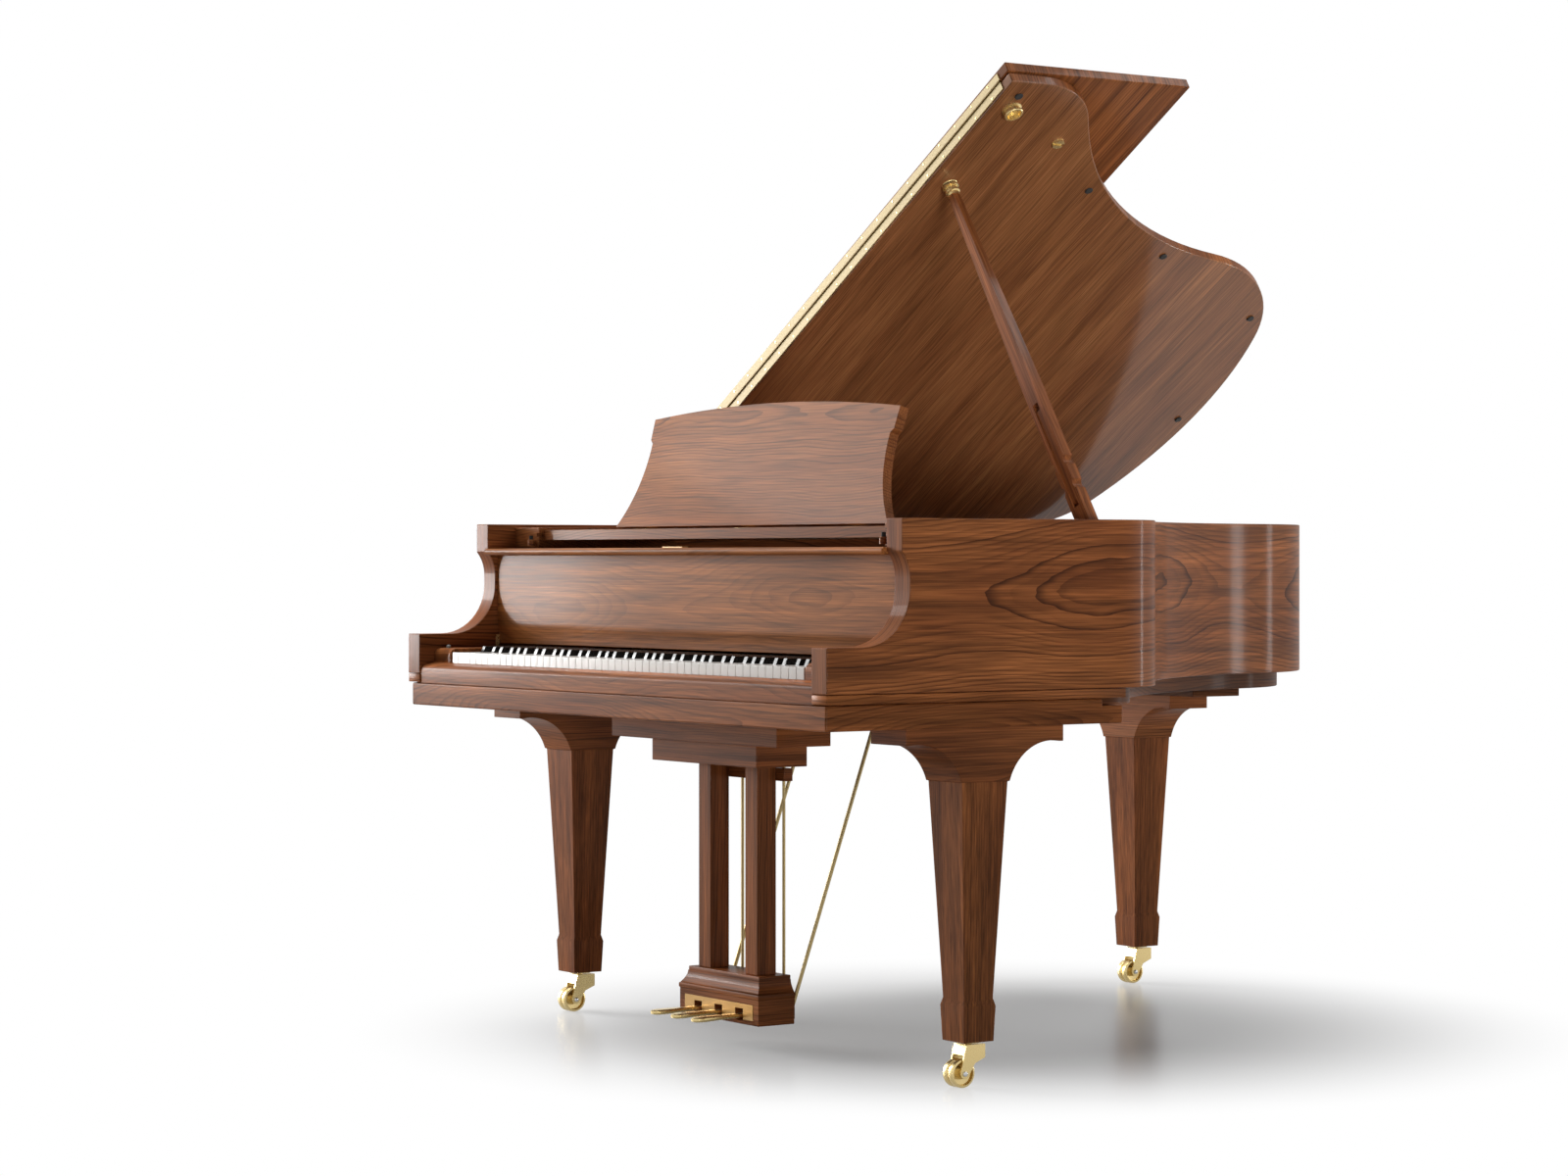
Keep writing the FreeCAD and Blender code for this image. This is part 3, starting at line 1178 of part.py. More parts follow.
def caster_wheels(x, y):
    """Two grooved wheels on one hub."""
    hub = V(0, -CASTER_TRAIL, WHEEL_R)
    groove = WHEEL_GROOVE / 2
    half = groove + WHEEL_WIDTH
    wheels = [rod(hub + X_AXIS * a, hub + X_AXIS * b, WHEEL_R) for a, b in ((-half, -groove), (groove, half))]
    wheels = [rounded(w, WHEEL_ROUND, lambda edge: isinstance(edge.Curve, Part.Circle)) for w in wheels]
    core = rod(hub - X_AXIS * (groove + 1), hub + X_AXIS * (groove + 1), WHEEL_R * 0.7)
    bore = rod(hub - X_AXIS * (half + 1), hub + X_AXIS * (half + 1), AXLE_R + RUN_CLEAR)
    pair = fused(wheels + [core]).cut(bore)
    pair.translate(V(x, y, 0))
    return pair


# Pedal lyre under the key bed

def lyre_blocks():
    solids, top = [], BED_BOTTOM
    for half, front, back, height in LYRE_BLOCKS:
        solids.append(box(-half, half, front, back, top - height, top))
        top -= height
    bar_low = CROSSBAR_TOP - CROSSBAR_HEIGHT
    solids.append(box(-CROSSBAR_HALF, CROSSBAR_HALF, POST_BACK, POST_BACK + CROSSBAR_DEPTH,
                      bar_low, CROSSBAR_TOP))
    return group(solids)


def lyre_posts():
    return group(both_sides(box(POST_INNER, POST_OUTER, POST_FRONT, POST_BACK, BOX_TOP, LYRE_LOW)))


def pedal_box():
    """Moulded box with three pedal slots right through it."""
    def ring(half, front, z):
        corners = [(-half, front), (half, front), (half, BOX_BACK), (-half, BOX_BACK), (-half, front)]
        return Part.makePolygon([V(x, y, z) for x, y in corners])

    shoulder, cap_low = BOX_TOP - BOX_MOULD, BOX_TOP - BOX_CAP
    cap_half, cap_front = BOX_HALF - BOX_CAP_INSET[0], BOX_FRONT + BOX_CAP_INSET[1]
    base = box(-BOX_HALF, BOX_HALF, BOX_FRONT, BOX_BACK, BOX_BOTTOM, shoulder)
    groove = box(-BOX_HALF - 1, BOX_HALF + 1, BOX_FRONT - 1, BOX_FRONT + BOX_GROOVE_DEPTH,
                 BOX_BOTTOM + BOX_GROOVE[0], shoulder - BOX_GROOVE[1])
    cove_side, cove_front, cove_rise = COVE_FOOT
    mould = Part.makeLoft([ring(BOX_HALF, BOX_FRONT, shoulder),
                           ring(BOX_HALF - cove_side, BOX_FRONT + cove_front, shoulder + cove_rise),
                           ring(cap_half + COVE_TOP, cap_front - COVE_TOP, cap_low)], True, True)
    cap = box(-cap_half, cap_half, cap_front, BOX_BACK, cap_low, BOX_TOP)
    body = fused([base.cut(groove), mould, cap])
    wide = PEDAL_WIDTH / 2 + PEDAL_CLEAR
    slot_low = PEDAL_Z - PEDAL_THICKNESS / 2 - PEDAL_ROOM[0]
    slot_top = PEDAL_Z + PEDAL_THICKNESS / 2 + PEDAL_ROOM[1]
    slots = [box(x - wide, x + wide, BOX_FRONT - 1, BOX_BACK + 1, slot_low, slot_top)
             for x in (-PEDAL_X, 0, PEDAL_X)]
    pin_end = BOX_HALF - BOX_PIN_INSET
    pin = rod(V(-pin_end, PEDAL_PIVOT, PEDAL_Z), V(pin_end, PEDAL_PIVOT, PEDAL_Z), PIN_R)
    return fused([body.cut(Part.makeCompound(slots)), pin])


def pedal(x):
    """Brass lever that widens to a rounded toe, bored for the pin in the box."""
    half, toe = PEDAL_WIDTH / 2, PEDAL_TOE / 2
    low = PEDAL_Z - PEDAL_THICKNESS / 2
    neck = BOX_FRONT - PEDAL_NECK
    nose = PEDAL_TIP + toe
    wide = nose + PEDAL_TOE_LENGTH
    right = [V(x + half, PEDAL_BACK, low), V(x + half, neck, low), V(x + toe, wide, low), V(x + toe, nose, low)]
    left = [V(2 * x - p.x, p.y, low) for p in reversed(right)]
    points = right + left
    edges = [Part.LineSegment(points[i], points[i + 1]) for i in (0, 1, 2)]
    edges.append(Part.Arc(right[3], V(x, PEDAL_TIP, low), left[0]))
    edges += [Part.LineSegment(points[i], points[i + 1]) for i in (4, 5, 6)]
    edges.append(Part.LineSegment(left[3], right[0]))
    lever = Part.Face(wire(*edges)).extrude(V(0, 0, PEDAL_THICKNESS))

    def toe_top(edge):
        return edge.BoundBox.ZMin > low + PEDAL_THICKNESS - 0.1 and edge.BoundBox.YMax < neck + 1

    lever = rounded(lever, PEDAL_ROUND, toe_top)
    bore = rod(V(x - half - 1, PEDAL_PIVOT, PEDAL_Z), V(x + half + 1, PEDAL_PIVOT, PEDAL_Z), PIN_R + PIN_CLEAR)
    return lever.cut(bore)


def pedal_rod(x):
    foot = PEDAL_Z + PEDAL_THICKNESS / 2 + ROD_SEAT
    return rod(V(x, ROD_Y, foot), V(x, ROD_Y, BED_BOTTOM - ROD_TRAVEL), ROD_R)


def lyre_braces():
    """Slanting rods from the pedal box back up to the key bed."""
    low = V(BRACE_X, BOX_BACK + BRACE_R, BOX_BOTTOM + BRACE_FOOT_RISE)
    high = V(BRACE_X, BRACE_TOP_Y, BED_BOTTOM - BRACE_FLANGE / 2)
    bar = fused([rod(low, high, BRACE_R), Part.makeSphere(BRACE_R * 1.6, low + Y_AXIS * BRACE_R)])
    bar = bar.cut(box(0, CASE_WIDTH, 0, BOX_BACK, 0, BED_BOTTOM))
    foot = rod(high - Z_AXIS * BRACE_FLANGE, V(high.x, high.y, BED_BOTTOM), BRACE_R * 2)
    return group(both_sides(fused([bar, foot])))


def build():
    parts["outer_rim"] = outer_rim()
    parts["inner_rim"] = inner_rim()
    parts["back_beams"] = back_beams()
    parts["soundboard"] = soundboard()
    parts["bridges"] = bridges()
    parts["iron_plate"] = iron_plate()
    parts["pin_block"] = pin_block()
    parts["strings_and_pins"] = strings_and_pins()
    parts["dampers"] = dampers()
    parts["key_bed"] = key_bed()
    parts["key_slip"] = key_slip()
    parts["cheek_blocks"] = cheek_blocks()
    parts["key_frame"] = key_frame()
    parts["action"] = action()
    for step, name in enumerate(NOTE_NAMES):
        parts["keys_" + name] = key_group(step)
    parts["fallboard"] = fallboard()
    parts["fallboard_lock"] = fallboard_lock()
    parts["desk_rails"] = desk_rails()
    parts["desk_tray"] = desk_tray()
    parts["music_desk"] = music_desk()
    parts["desk_strut"] = desk_strut()
    parts["case_hinges"] = case_hinges()
    parts["main_lid"] = main_lid()
    parts["lid_hinge_leaves"] = lid_hinge_leaves()
    parts["lid_fittings"] = lid_fittings()
    parts["lid_buttons"] = lid_buttons()
    parts["front_lid"] = front_lid()
    parts["flap_hinge_leaf"] = flap_hinge_leaf()
    parts["lid_prop"] = lid_prop()
    parts["short_prop"] = short_prop()
    for name, x, y, along_x in (("left", -LEG_X, LEG_Y, False), ("right", LEG_X, LEG_Y, False),
                                ("rear", REAR_LEG_X, REAR_LEG_Y, True)):
        parts[name + "_leg"] = leg(x, y, along_x)
        parts[name + "_caster_fork"] = caster_fork(x, y)
        parts[name + "_caster_wheels"] = caster_wheels(x, y)
    parts["lyre_blocks"] = lyre_blocks()
    parts["lyre_posts"] = lyre_posts()
    parts["pedal_box"] = pedal_box()
    parts["lyre_braces"] = lyre_braces()
    for name, x in (("left", -PEDAL_X), ("middle", 0), ("right", PEDAL_X)):
        parts[name + "_pedal"] = pedal(x)
        parts[name + "_pedal_rod"] = pedal_rod(x)


def export():
    """Move the origin under the middle of the part and write one file for each node."""
    boxes = [shape.BoundBox for shape in parts.values()]
    middle_x = (min(b.XMin for b in boxes) + max(b.XMax for b in boxes)) / 2
    middle_y = (min(b.YMin for b in boxes) + max(b.YMax for b in boxes)) / 2
    os.makedirs("parts", exist_ok=True)
    for name, shape in parts.items():
        shape.translate(V(-middle_x, -middle_y, 0))
        shape.exportStep("parts/" + name + ".step")
        print(name, len(shape.Solids), "solids", round(shape.Volume / 1000), "cm3", shape.isValid())
    print("origin moved by", round(middle_x, 3), round(middle_y, 3))


build()
export()
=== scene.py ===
"""Grand piano in satin walnut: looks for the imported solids, in metres, in the frame of the pack."""
import bmesh
import bpy
import json
import math
from mathutils import Matrix, Vector

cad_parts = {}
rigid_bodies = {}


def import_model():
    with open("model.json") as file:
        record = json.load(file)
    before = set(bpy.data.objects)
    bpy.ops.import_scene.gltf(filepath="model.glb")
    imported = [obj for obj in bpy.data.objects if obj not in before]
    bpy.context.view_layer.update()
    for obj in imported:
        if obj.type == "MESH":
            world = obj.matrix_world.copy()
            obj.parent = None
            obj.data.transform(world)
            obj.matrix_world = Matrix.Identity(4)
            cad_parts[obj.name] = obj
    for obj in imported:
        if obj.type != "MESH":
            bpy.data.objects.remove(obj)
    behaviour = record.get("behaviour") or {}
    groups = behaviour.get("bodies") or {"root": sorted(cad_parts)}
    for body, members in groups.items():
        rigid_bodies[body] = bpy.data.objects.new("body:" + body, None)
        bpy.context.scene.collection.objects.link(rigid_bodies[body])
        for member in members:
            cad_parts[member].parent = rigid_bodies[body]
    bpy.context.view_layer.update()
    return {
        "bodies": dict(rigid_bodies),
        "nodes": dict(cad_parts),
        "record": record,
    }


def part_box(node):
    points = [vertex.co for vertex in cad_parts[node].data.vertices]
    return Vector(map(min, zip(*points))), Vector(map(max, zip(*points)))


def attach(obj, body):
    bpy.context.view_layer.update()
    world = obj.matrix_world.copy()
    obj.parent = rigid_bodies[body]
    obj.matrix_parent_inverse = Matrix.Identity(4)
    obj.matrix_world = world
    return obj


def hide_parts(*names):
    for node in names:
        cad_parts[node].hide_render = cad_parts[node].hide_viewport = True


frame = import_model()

# Camera: a level view from the treble end of the keyboard, a little below the height of the rim's top.
# The lens is long, and the frame is shifted a little so that uprights stay upright.
# Its place, turn and lens are fitted to the straight edges of the case.
camera = bpy.data.objects.new("camera", bpy.data.cameras.new("camera"))
bpy.context.scene.collection.objects.link(camera)
camera.location = (5.8073, -4.3960, 0.9201)
camera.rotation_euler = (math.radians(90), 0, math.radians(55.80))
camera.data.sensor_width = 36
camera.data.lens = 84.70
camera.data.shift_y = -0.0188
bpy.context.scene.camera = camera


# Studio: a pale glossy sheet as floor, white surroundings and soft lamps from the left, above and behind.
# Away from the piano the sheet goes over into plain white; near it, it keeps the shadow and a weak reflection.
def linear(hex_colour):
    """The linear colour of an sRGB hex value."""
    channels = [int(hex_colour[i:i + 2], 16) / 255 for i in (1, 3, 5)]
    return [c / 12.92 if c <= 0.04045 else ((c + 0.055) / 1.055) ** 2.4 for c in channels] + [1.0]


def add(tree, kind, settings=None, links=None):
    """One node with its links and settings: properties by lower-case name, sockets by name or number."""
    node = tree.nodes.new(kind)
    for key, value in (settings or {}).items():
        if isinstance(key, str) and key[0].islower():
            setattr(node, key, value)
        else:
            node.inputs[key].default_value = value
    for key, socket in (links or {}).items():
        tree.links.new(socket, node.inputs[key])
    return node


def new_finish(name):
    """A new material and its emptied node tree."""
    material = bpy.data.materials.new(name)
    material.use_nodes = True
    material.node_tree.nodes.clear()
    return material, material.node_tree


def in_the_picture(tree):
    """A number that is 1 for a ray from the camera, also by way of a mirror or glass, and 0 for others."""
    path = add(tree, "ShaderNodeLightPath")
    thrown_on = add(tree, "ShaderNodeMath", {"operation": "MAXIMUM"},
                    {0: path.outputs["Is Glossy Ray"], 1: path.outputs["Is Transmission Ray"]})
    return add(tree, "ShaderNodeMath", {"operation": "MAXIMUM"},
               {0: path.outputs["Is Camera Ray"], 1: thrown_on.outputs[0]}).outputs[0]


bpy.context.scene.view_settings.view_transform = "Standard"
FLOOR_HALF = 40.0
WHITE_FROM, ALL_WHITE = 0.4, 1.25
floor_mesh = bpy.data.meshes.new("floor")
floor_mesh.from_pydata([(x, y, 0) for x, y in ((-1, -1), (1, -1), (1, 1), (-1, 1))], [], [(0, 1, 2, 3)])
floor_mesh.transform(Matrix.Scale(FLOOR_HALF, 4))
floor = bpy.data.objects.new("floor", floor_mesh)
bpy.context.scene.collection.objects.link(floor)
# Smooth coated paper: an even pale grey with a weak, blurred mirror image.
# It is darker for the light that it throws back than for the eye, so that the piano's undersides stay dark.
paper, tree = new_finish("white_studio_sheet")
path = add(tree, "ShaderNodeLightPath")
tone = add(tree, "ShaderNodeMix", {"data_type": "RGBA", 6: linear("#8a8a8a"), 7: linear("#b2b2b2")},
           {0: path.outputs["Is Camera Ray"]})
sheet = add(tree, "ShaderNodeBsdfPrincipled", {"Roughness": 0.25, "Specular IOR Level": 0.06},
            {"Base Color": tone.outputs[2]})
place = add(tree, "ShaderNodeTexCoord")
reach = add(tree, "ShaderNodeVectorMath", {"operation": "LENGTH"}, {0: place.outputs["Object"]})
away = add(tree, "ShaderNodeMapRange",
           {"interpolation_type": "SMOOTHSTEP", "From Min": WHITE_FROM, "From Max": ALL_WHITE},
           {"Value": reach.outputs["Value"]})
white = add(tree, "ShaderNodeMath", {"operation": "MULTIPLY"}, {0: away.outputs[0], 1: in_the_picture(tree)})
lift = add(tree, "ShaderNodeEmission", {"Color": (1, 1, 1, 1), "Strength": 1.0})
both = add(tree, "ShaderNodeMixShader", None, {0: white.outputs[0], 1: sheet.outputs[0], 2: lift.outputs[0]})
add(tree, "ShaderNodeOutputMaterial", None, {"Surface": both.outputs[0]})
floor.data.materials.append(paper)

world = bpy.data.worlds.new("white_room")
world.use_nodes = True
tree = world.node_tree
tree.nodes.clear()
strength = add(tree, "ShaderNodeMapRange", {"To Min": 0.1, "To Max": 1.0}, {"Value": in_the_picture(tree)})
sky = add(tree, "ShaderNodeBackground", {"Color": (1, 1, 1, 1)}, {"Strength": strength.outputs[0]})
add(tree, "ShaderNodeOutputWorld", None, {"Surface": sky.outputs[0]})
bpy.context.scene.world = world

# Each lamp: where it stands, what it is aimed at, its width and height in metres, its spread and its watts.
for name, stand, target, size, spread, power in (
        ("left_softbox", (-7.5, -3.3, 1.75), (0.0, -0.6, 0.8), (3.0, 2.5), 180, 720),
        ("upper_softbox", (-4.8, -3.6, 3.5), (0.0, -0.4, 0.9), (1.6, 1.2), 180, 75),
        ("top_softbox", (-2.0, -0.9, 4.8), (0.0, 0.0, 0.6), (2.4, 2.4), 180, 195),
        ("right_softbox", (5.0, -1.2, 0.55), (0.3, 0.25, 1.42), (2.2, 0.8), 30, 6.5),
        ("edge_strip", (1.7, 2.7, 4.9), (0.4, 0.1, 1.7), (1.8, 0.6), 180, 45),
        ("tail_strip", (1.7, 4.8, 1.3), (0.3, 0.6, 0.8), (0.35, 2.6), 180, 60)):
    lamp = bpy.data.objects.new(name, bpy.data.lights.new(name, "AREA"))
    bpy.context.scene.collection.objects.link(lamp)
    lamp.location = stand
    lamp.rotation_euler = (Vector(target) - Vector(stand)).to_track_quat("-Z", "Y").to_euler()
    lamp.data.shape = "RECTANGLE"
    lamp.data.size, lamp.data.size_y = size
    lamp.data.spread = math.radians(spread)
    lamp.data.energy = power

# Outer rim: beech laminations bent in one press and faced with flat-sawn walnut, its arms sawn to a scoop.
# The veneer lies level round the case and runs up the fronts of the arms.
# Every edge is eased by hand, and the lacquer is rubbed to a satin.

# Length and width of the wood's figure in mm. The fibres, and the rings further down, are drawn coarser than
# the 0.2 mm pores and 2 mm rings of real walnut, which would be lost in a picture of the whole piano.
WANDER_LENGTH = 770
WAVER, BAND, FIBRE, SMOKE = (333, 76.9), (714, 125), (143, 2.632), (556, 18.18)
WAVER_DEPTH = 0.019


def timber(name, along, across, centre, depth=0.1, swing=0.1, pitch=0.0062, sway=0.08, turn=(0, 0, 0),
           light="#a9673a", mid="#7d4626", dark="#2a1208", lines=0.9, gloss=0.08, smoky=0.42):
    """Lacquered wood, cut by a plane that passes near the heart of the log and drifts from it.

    along marks the axes that the grain runs in, across is the direction in which the rings are met.
    In metres, centre is the heart's place in that direction and sway how far it wanders, depth is its mean
    distance behind the face and swing how far that drifts, and pitch is the spacing of the rings.
    lines, gloss and smoky are the strength of the ring lines, the lacquer's shine and the smoky streaks.
    """
    def cells(figure):
        """Noise cells to a metre on each axis for a figure of that length and width."""
        return [1000 / figure[0 if runs else 1] for runs in along]

    material, tree = new_finish(name)
    place = add(tree, "ShaderNodeTexCoord")
    wood = add(tree, "ShaderNodeMapping", {"Rotation": turn}, {"Vector": place.outputs["Object"]}).outputs[0]
    over = add(tree, "ShaderNodeVectorMath", {"operation": "DOT_PRODUCT", 1: across}, {0: wood})
    # The heart wanders up and down and nearer and farther along the board, which draws the cathedral figure.
    slow = add(tree, "ShaderNodeMapping", {"Location": (centre * 3, 0.4, centre), "Scale": along},
               {"Vector": wood})
    wander = add(tree, "ShaderNodeTexNoise", {"Scale": 1000 / WANDER_LENGTH, "Detail": 1.2, "Roughness": 0.35},
                 {"Vector": slow.outputs[0]})
    drift = add(tree, "ShaderNodeSeparateColor", None, {0: wander.outputs["Color"]})
    rise = add(tree, "ShaderNodeMapRange", {"To Min": centre - sway, "To Max": centre + sway},
               {"Value": drift.outputs[0]})
    height = add(tree, "ShaderNodeMath", {"operation": "SUBTRACT"},
                 {0: over.outputs["Value"], 1: rise.outputs[0]})
    behind = add(tree, "ShaderNodeMapRange", {"To Min": depth - swing, "To Max": depth + swing},
                 {"Value": drift.outputs[1]})
    pair = add(tree, "ShaderNodeCombineXYZ", None, {0: height.outputs[0], 1: behind.outputs[0]})
    radius = add(tree, "ShaderNodeVectorMath", {"operation": "LENGTH"}, {0: pair.outputs[0]})
    # Each ring wavers, darkens slowly to a late-wood line and breaks off sharply.
    # No two lines are equally dark.
    loose = add(tree, "ShaderNodeMapping", {"Scale": cells(WAVER)}, {"Vector": wood})
    waver = add(tree, "ShaderNodeTexNoise", {"Scale": 1.0, "Detail": 3.5, "Roughness": 0.55},
                {"Vector": loose.outputs[0]})
    bent = add(tree, "ShaderNodeMath", {"operation": "MULTIPLY_ADD", 1: WAVER_DEPTH},
               {0: waver.outputs["Fac"], 2: radius.outputs["Value"]})
    rings = add(tree, "ShaderNodeMath", {"operation": "DIVIDE", 1: pitch}, {0: bent.outputs[0]})
    saw = add(tree, "ShaderNodeMath", {"operation": "FRACT"}, {0: rings.outputs[0]})
    number = add(tree, "ShaderNodeMath", {"operation": "FLOOR"}, {0: rings.outputs[0]})
    chance = add(tree, "ShaderNodeTexWhiteNoise", {"noise_dimensions": "1D"}, {"W": number.outputs[0]})
    late = add(tree, "ShaderNodeMapRange",
               {"interpolation_type": "SMOOTHSTEP", "From Min": 0.25, "From Max": 1.0},
               {"Value": saw.outputs[0]})
    keen = add(tree, "ShaderNodeMath", {"operation": "POWER", 1: 1.5}, {0: late.outputs[0]})
    weight = add(tree, "ShaderNodeMapRange", {"To Min": 0.12 * lines, "To Max": lines},
                 {"Value": chance.outputs["Value"]})
    line = add(tree, "ShaderNodeMath", {"operation": "MULTIPLY"}, {0: keen.outputs[0], 1: weight.outputs[0]})
    # Broad lighter and darker bands lie under the lines, fine fibres and smoky streaks over them.
    broad = add(tree, "ShaderNodeMapping", {"Scale": cells(BAND)}, {"Vector": wood})
    bands = add(tree, "ShaderNodeTexNoise", {"Scale": 1.0, "Detail": 3.0, "Roughness": 0.6},
                {"Vector": broad.outputs[0]})
    share = add(tree, "ShaderNodeMapRange", {"From Min": 0.32, "From Max": 0.68},
                {"Value": bands.outputs["Fac"]})
    early = add(tree, "ShaderNodeMix", {"data_type": "RGBA", 6: linear(mid), 7: linear(light)},
                {0: share.outputs[0]})
    figured = add(tree, "ShaderNodeMix", {"data_type": "RGBA", 7: linear(dark)},
                  {0: line.outputs[0], 6: early.outputs[2]})
    thin = add(tree, "ShaderNodeMapping", {"Scale": cells(FIBRE)}, {"Vector": wood})
    fibre = add(tree, "ShaderNodeTexNoise", {"Scale": 1.0, "Detail": 2.0, "Roughness": 0.6},
                {"Vector": thin.outputs[0]})
    streak = add(tree, "ShaderNodeMapRange",
                 {"From Min": 0.3, "From Max": 0.7, "To Min": 0.58, "To Max": 1.26},
                 {"Value": fibre.outputs["Fac"]})
    drawn_out = add(tree, "ShaderNodeMapping", {"Scale": cells(SMOKE)}, {"Vector": wood})
    smoke = add(tree, "ShaderNodeTexNoise",
                {"Scale": 1.0, "Detail": 4.0, "Roughness": 0.6, "Distortion": 0.3},
                {"Vector": drawn_out.outputs[0]})
    shade = add(tree, "ShaderNodeMapRange",
                {"From Min": 0.33, "From Max": 0.67, "To Min": 1 - smoky, "To Max": 1 + smoky / 2},
                {"Value": smoke.outputs["Fac"]})
    veil = add(tree, "ShaderNodeMath", {"operation": "MULTIPLY"}, {0: streak.outputs[0], 1: shade.outputs[0]})
    shaded = add(tree, "ShaderNodeMix", {"data_type": "RGBA", "blend_type": "MULTIPLY", 0: 1.0},
                 {6: figured.outputs[2], 7: veil.outputs[0]})
    # The fibres also dent the lacquer and vary its dullness a little.
    dull = add(tree, "ShaderNodeMapRange", {"To Min": 0.36, "To Max": 0.48}, {"Value": fibre.outputs["Fac"]})
    dents = add(tree, "ShaderNodeBump", {"Strength": 0.1, "Distance": 0.0003},
                {"Height": fibre.outputs["Fac"]})
    lacquer = add(tree, "ShaderNodeBsdfPrincipled",
                  {"IOR": 1.5, "Specular IOR Level": 0.03, "Coat Weight": gloss, "Coat Roughness": 0.11},
                  {"Base Color": shaded.outputs[2], "Roughness": dull.outputs[0], "Normal": dents.outputs[0]})
    add(tree, "ShaderNodeOutputMaterial", None, {"Surface": lacquer.outputs[0]})
    return material


BODY_OF = {node: body for body, nodes in frame["record"]["behaviour"]["bodies"].items() for node in nodes}
SAME_POINT = 2e-6
FLAT_WITHIN, SHARP_FROM, SMOOTH_WITHIN = math.radians(0.3), math.radians(30), math.radians(38)


def put(name, mesh, body, finish):
    """A finished mesh in the scene, shaded smooth up to its sharp edges, with its material, on its body."""
    if isinstance(mesh, bmesh.types.BMesh):
        bmesh.ops.recalc_face_normals(mesh, faces=mesh.faces)
        data = bpy.data.meshes.new(name)
        mesh.to_mesh(data)
        mesh.free()
        mesh = data
    mesh.materials.clear()
    mesh.materials.append(finish)
    mesh.shade_smooth()
    mesh.set_sharp_from_angle(angle=SMOOTH_WITHIN)
    piece = bpy.data.objects.new(name, mesh)
    bpy.context.scene.collection.objects.link(piece)
    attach(piece, body)
    return piece


def merged(node):
    """A copy of a CAD node's mesh with its loose triangles joined at their corners."""
    mesh = bmesh.new()
    mesh.from_mesh(frame["nodes"][node].data)
    bmesh.ops.remove_doubles(mesh, verts=mesh.verts, dist=SAME_POINT)
    return mesh


def eased(node, radius_mm, finish):
    """The piece as its maker leaves it: the solid of a CAD node with every sharp edge rounded over."""
    mesh = merged(node)
    bmesh.ops.dissolve_limit(mesh, angle_limit=FLAT_WITHIN, verts=mesh.verts, edges=mesh.edges)
    sharp = [e for e in mesh.edges if len(e.link_faces) == 2 and e.calc_face_angle() > SHARP_FROM]
    bmesh.ops.bevel(mesh, geom=sharp, offset=radius_mm / 1000, offset_type="OFFSET", segments=3, profile=0.5,
                    affect="EDGES", clamp_overlap=True)
    piece = put(node + "_eased", mesh, BODY_OF[node], finish)
    weighted = piece.modifiers.new("even_shading", "WEIGHTED_NORMAL")
    weighted.keep_sharp = True
    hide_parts(node)
    return piece


def second_finish(piece, finish, wanted):
    """Give the faces that the test picks, by centre and normal, another material."""
    piece.data.materials.append(finish)
    for face in piece.data.polygons:
        if wanted(face.center, face.normal):
            face.material_index = 1


rim_low, rim_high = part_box("outer_rim")
MIDDLE_X, FRONT_Y = (rim_low[0] + rim_high[0]) / 2, rim_low[1]
ARM_DEPTH = 0.18
# Flat-sawn heartwood: warm brown with long dark cathedral lines, and a soft sheen only at a slant.
rim_veneer = timber("walnut_veneer_on_the_rim", (1, 1, 0), (0, 0, 1), 0.855)
# The same wood cut nearer the quarter: closer, calmer lines that run upwards.
arm_veneer = timber("walnut_veneer_on_the_arm_fronts", (0, 1, 1), (1, 0, 0), 0.3, pitch=0.004, lines=0.5)


def on_arm_front(spot, normal):
    """Whether a face looks forward on one of the two arms."""
    return abs(normal.x) < 0.3 and normal.y < -0.05 and spot.y < FRONT_Y + ARM_DEPTH


second_finish(eased("outer_rim", 1.8, rim_veneer), arm_veneer, on_arm_front)

# Frame of the case: inner rim with its belly rail, and the beams and leg plate under the soundboard.
# Sawn hardwood, stained walnut brown where it shows from outside.
# Stain without a built-up lacquer: darker, flatter and with hardly any shine.
stained = timber("walnut_stained_frame", (1, 1, 0), (0, 0, 1), 0.5, light="#7a4a2c", mid="#5f381e",
                 dark="#24120a", gloss=0.02)
for node in ("inner_rim", "back_beams"):
    eased(node, 1.5, stained)

# Pin block, bridges, key frame and action: maple, oiled and left plain where only the tuner sees it.
# The grain runs across the piano.
# Pale honey-coloured wood with faint lines.
maple = timber("maple_oiled", (1, 0, 0), (0, 0.7, 0.7), 0.3, light="#cda674", mid="#bd9159", dark="#8f6536",
               lines=0.4)
for node in ("pin_block", "bridges", "key_frame", "action"):
    eased(node, 0.5, maple)

# Soundboard: quarter-sawn spruce boards glued edge to edge, the grain running across the bass corner.
# A thin varnish leaves the wood's own straw yellow, with straight close lines.
GRAIN_TURN = math.radians(-35)
spruce = timber("spruce_varnished", (1, 0, 0), (0, 1, 0), 4.0, pitch=0.004, turn=(0, 0, GRAIN_TURN),
                light="#e0b777", mid="#d3a25c", dark="#a9763c", lines=0.5)
eased("soundboard", 0.5, spruce)

# Iron plate: grey iron cast in sand, sprayed with bronze powder in lacquer, bolted down through its flange.
# Slotted screws hold the two cross flanges and the bass side.
CLOUD_MM = 111


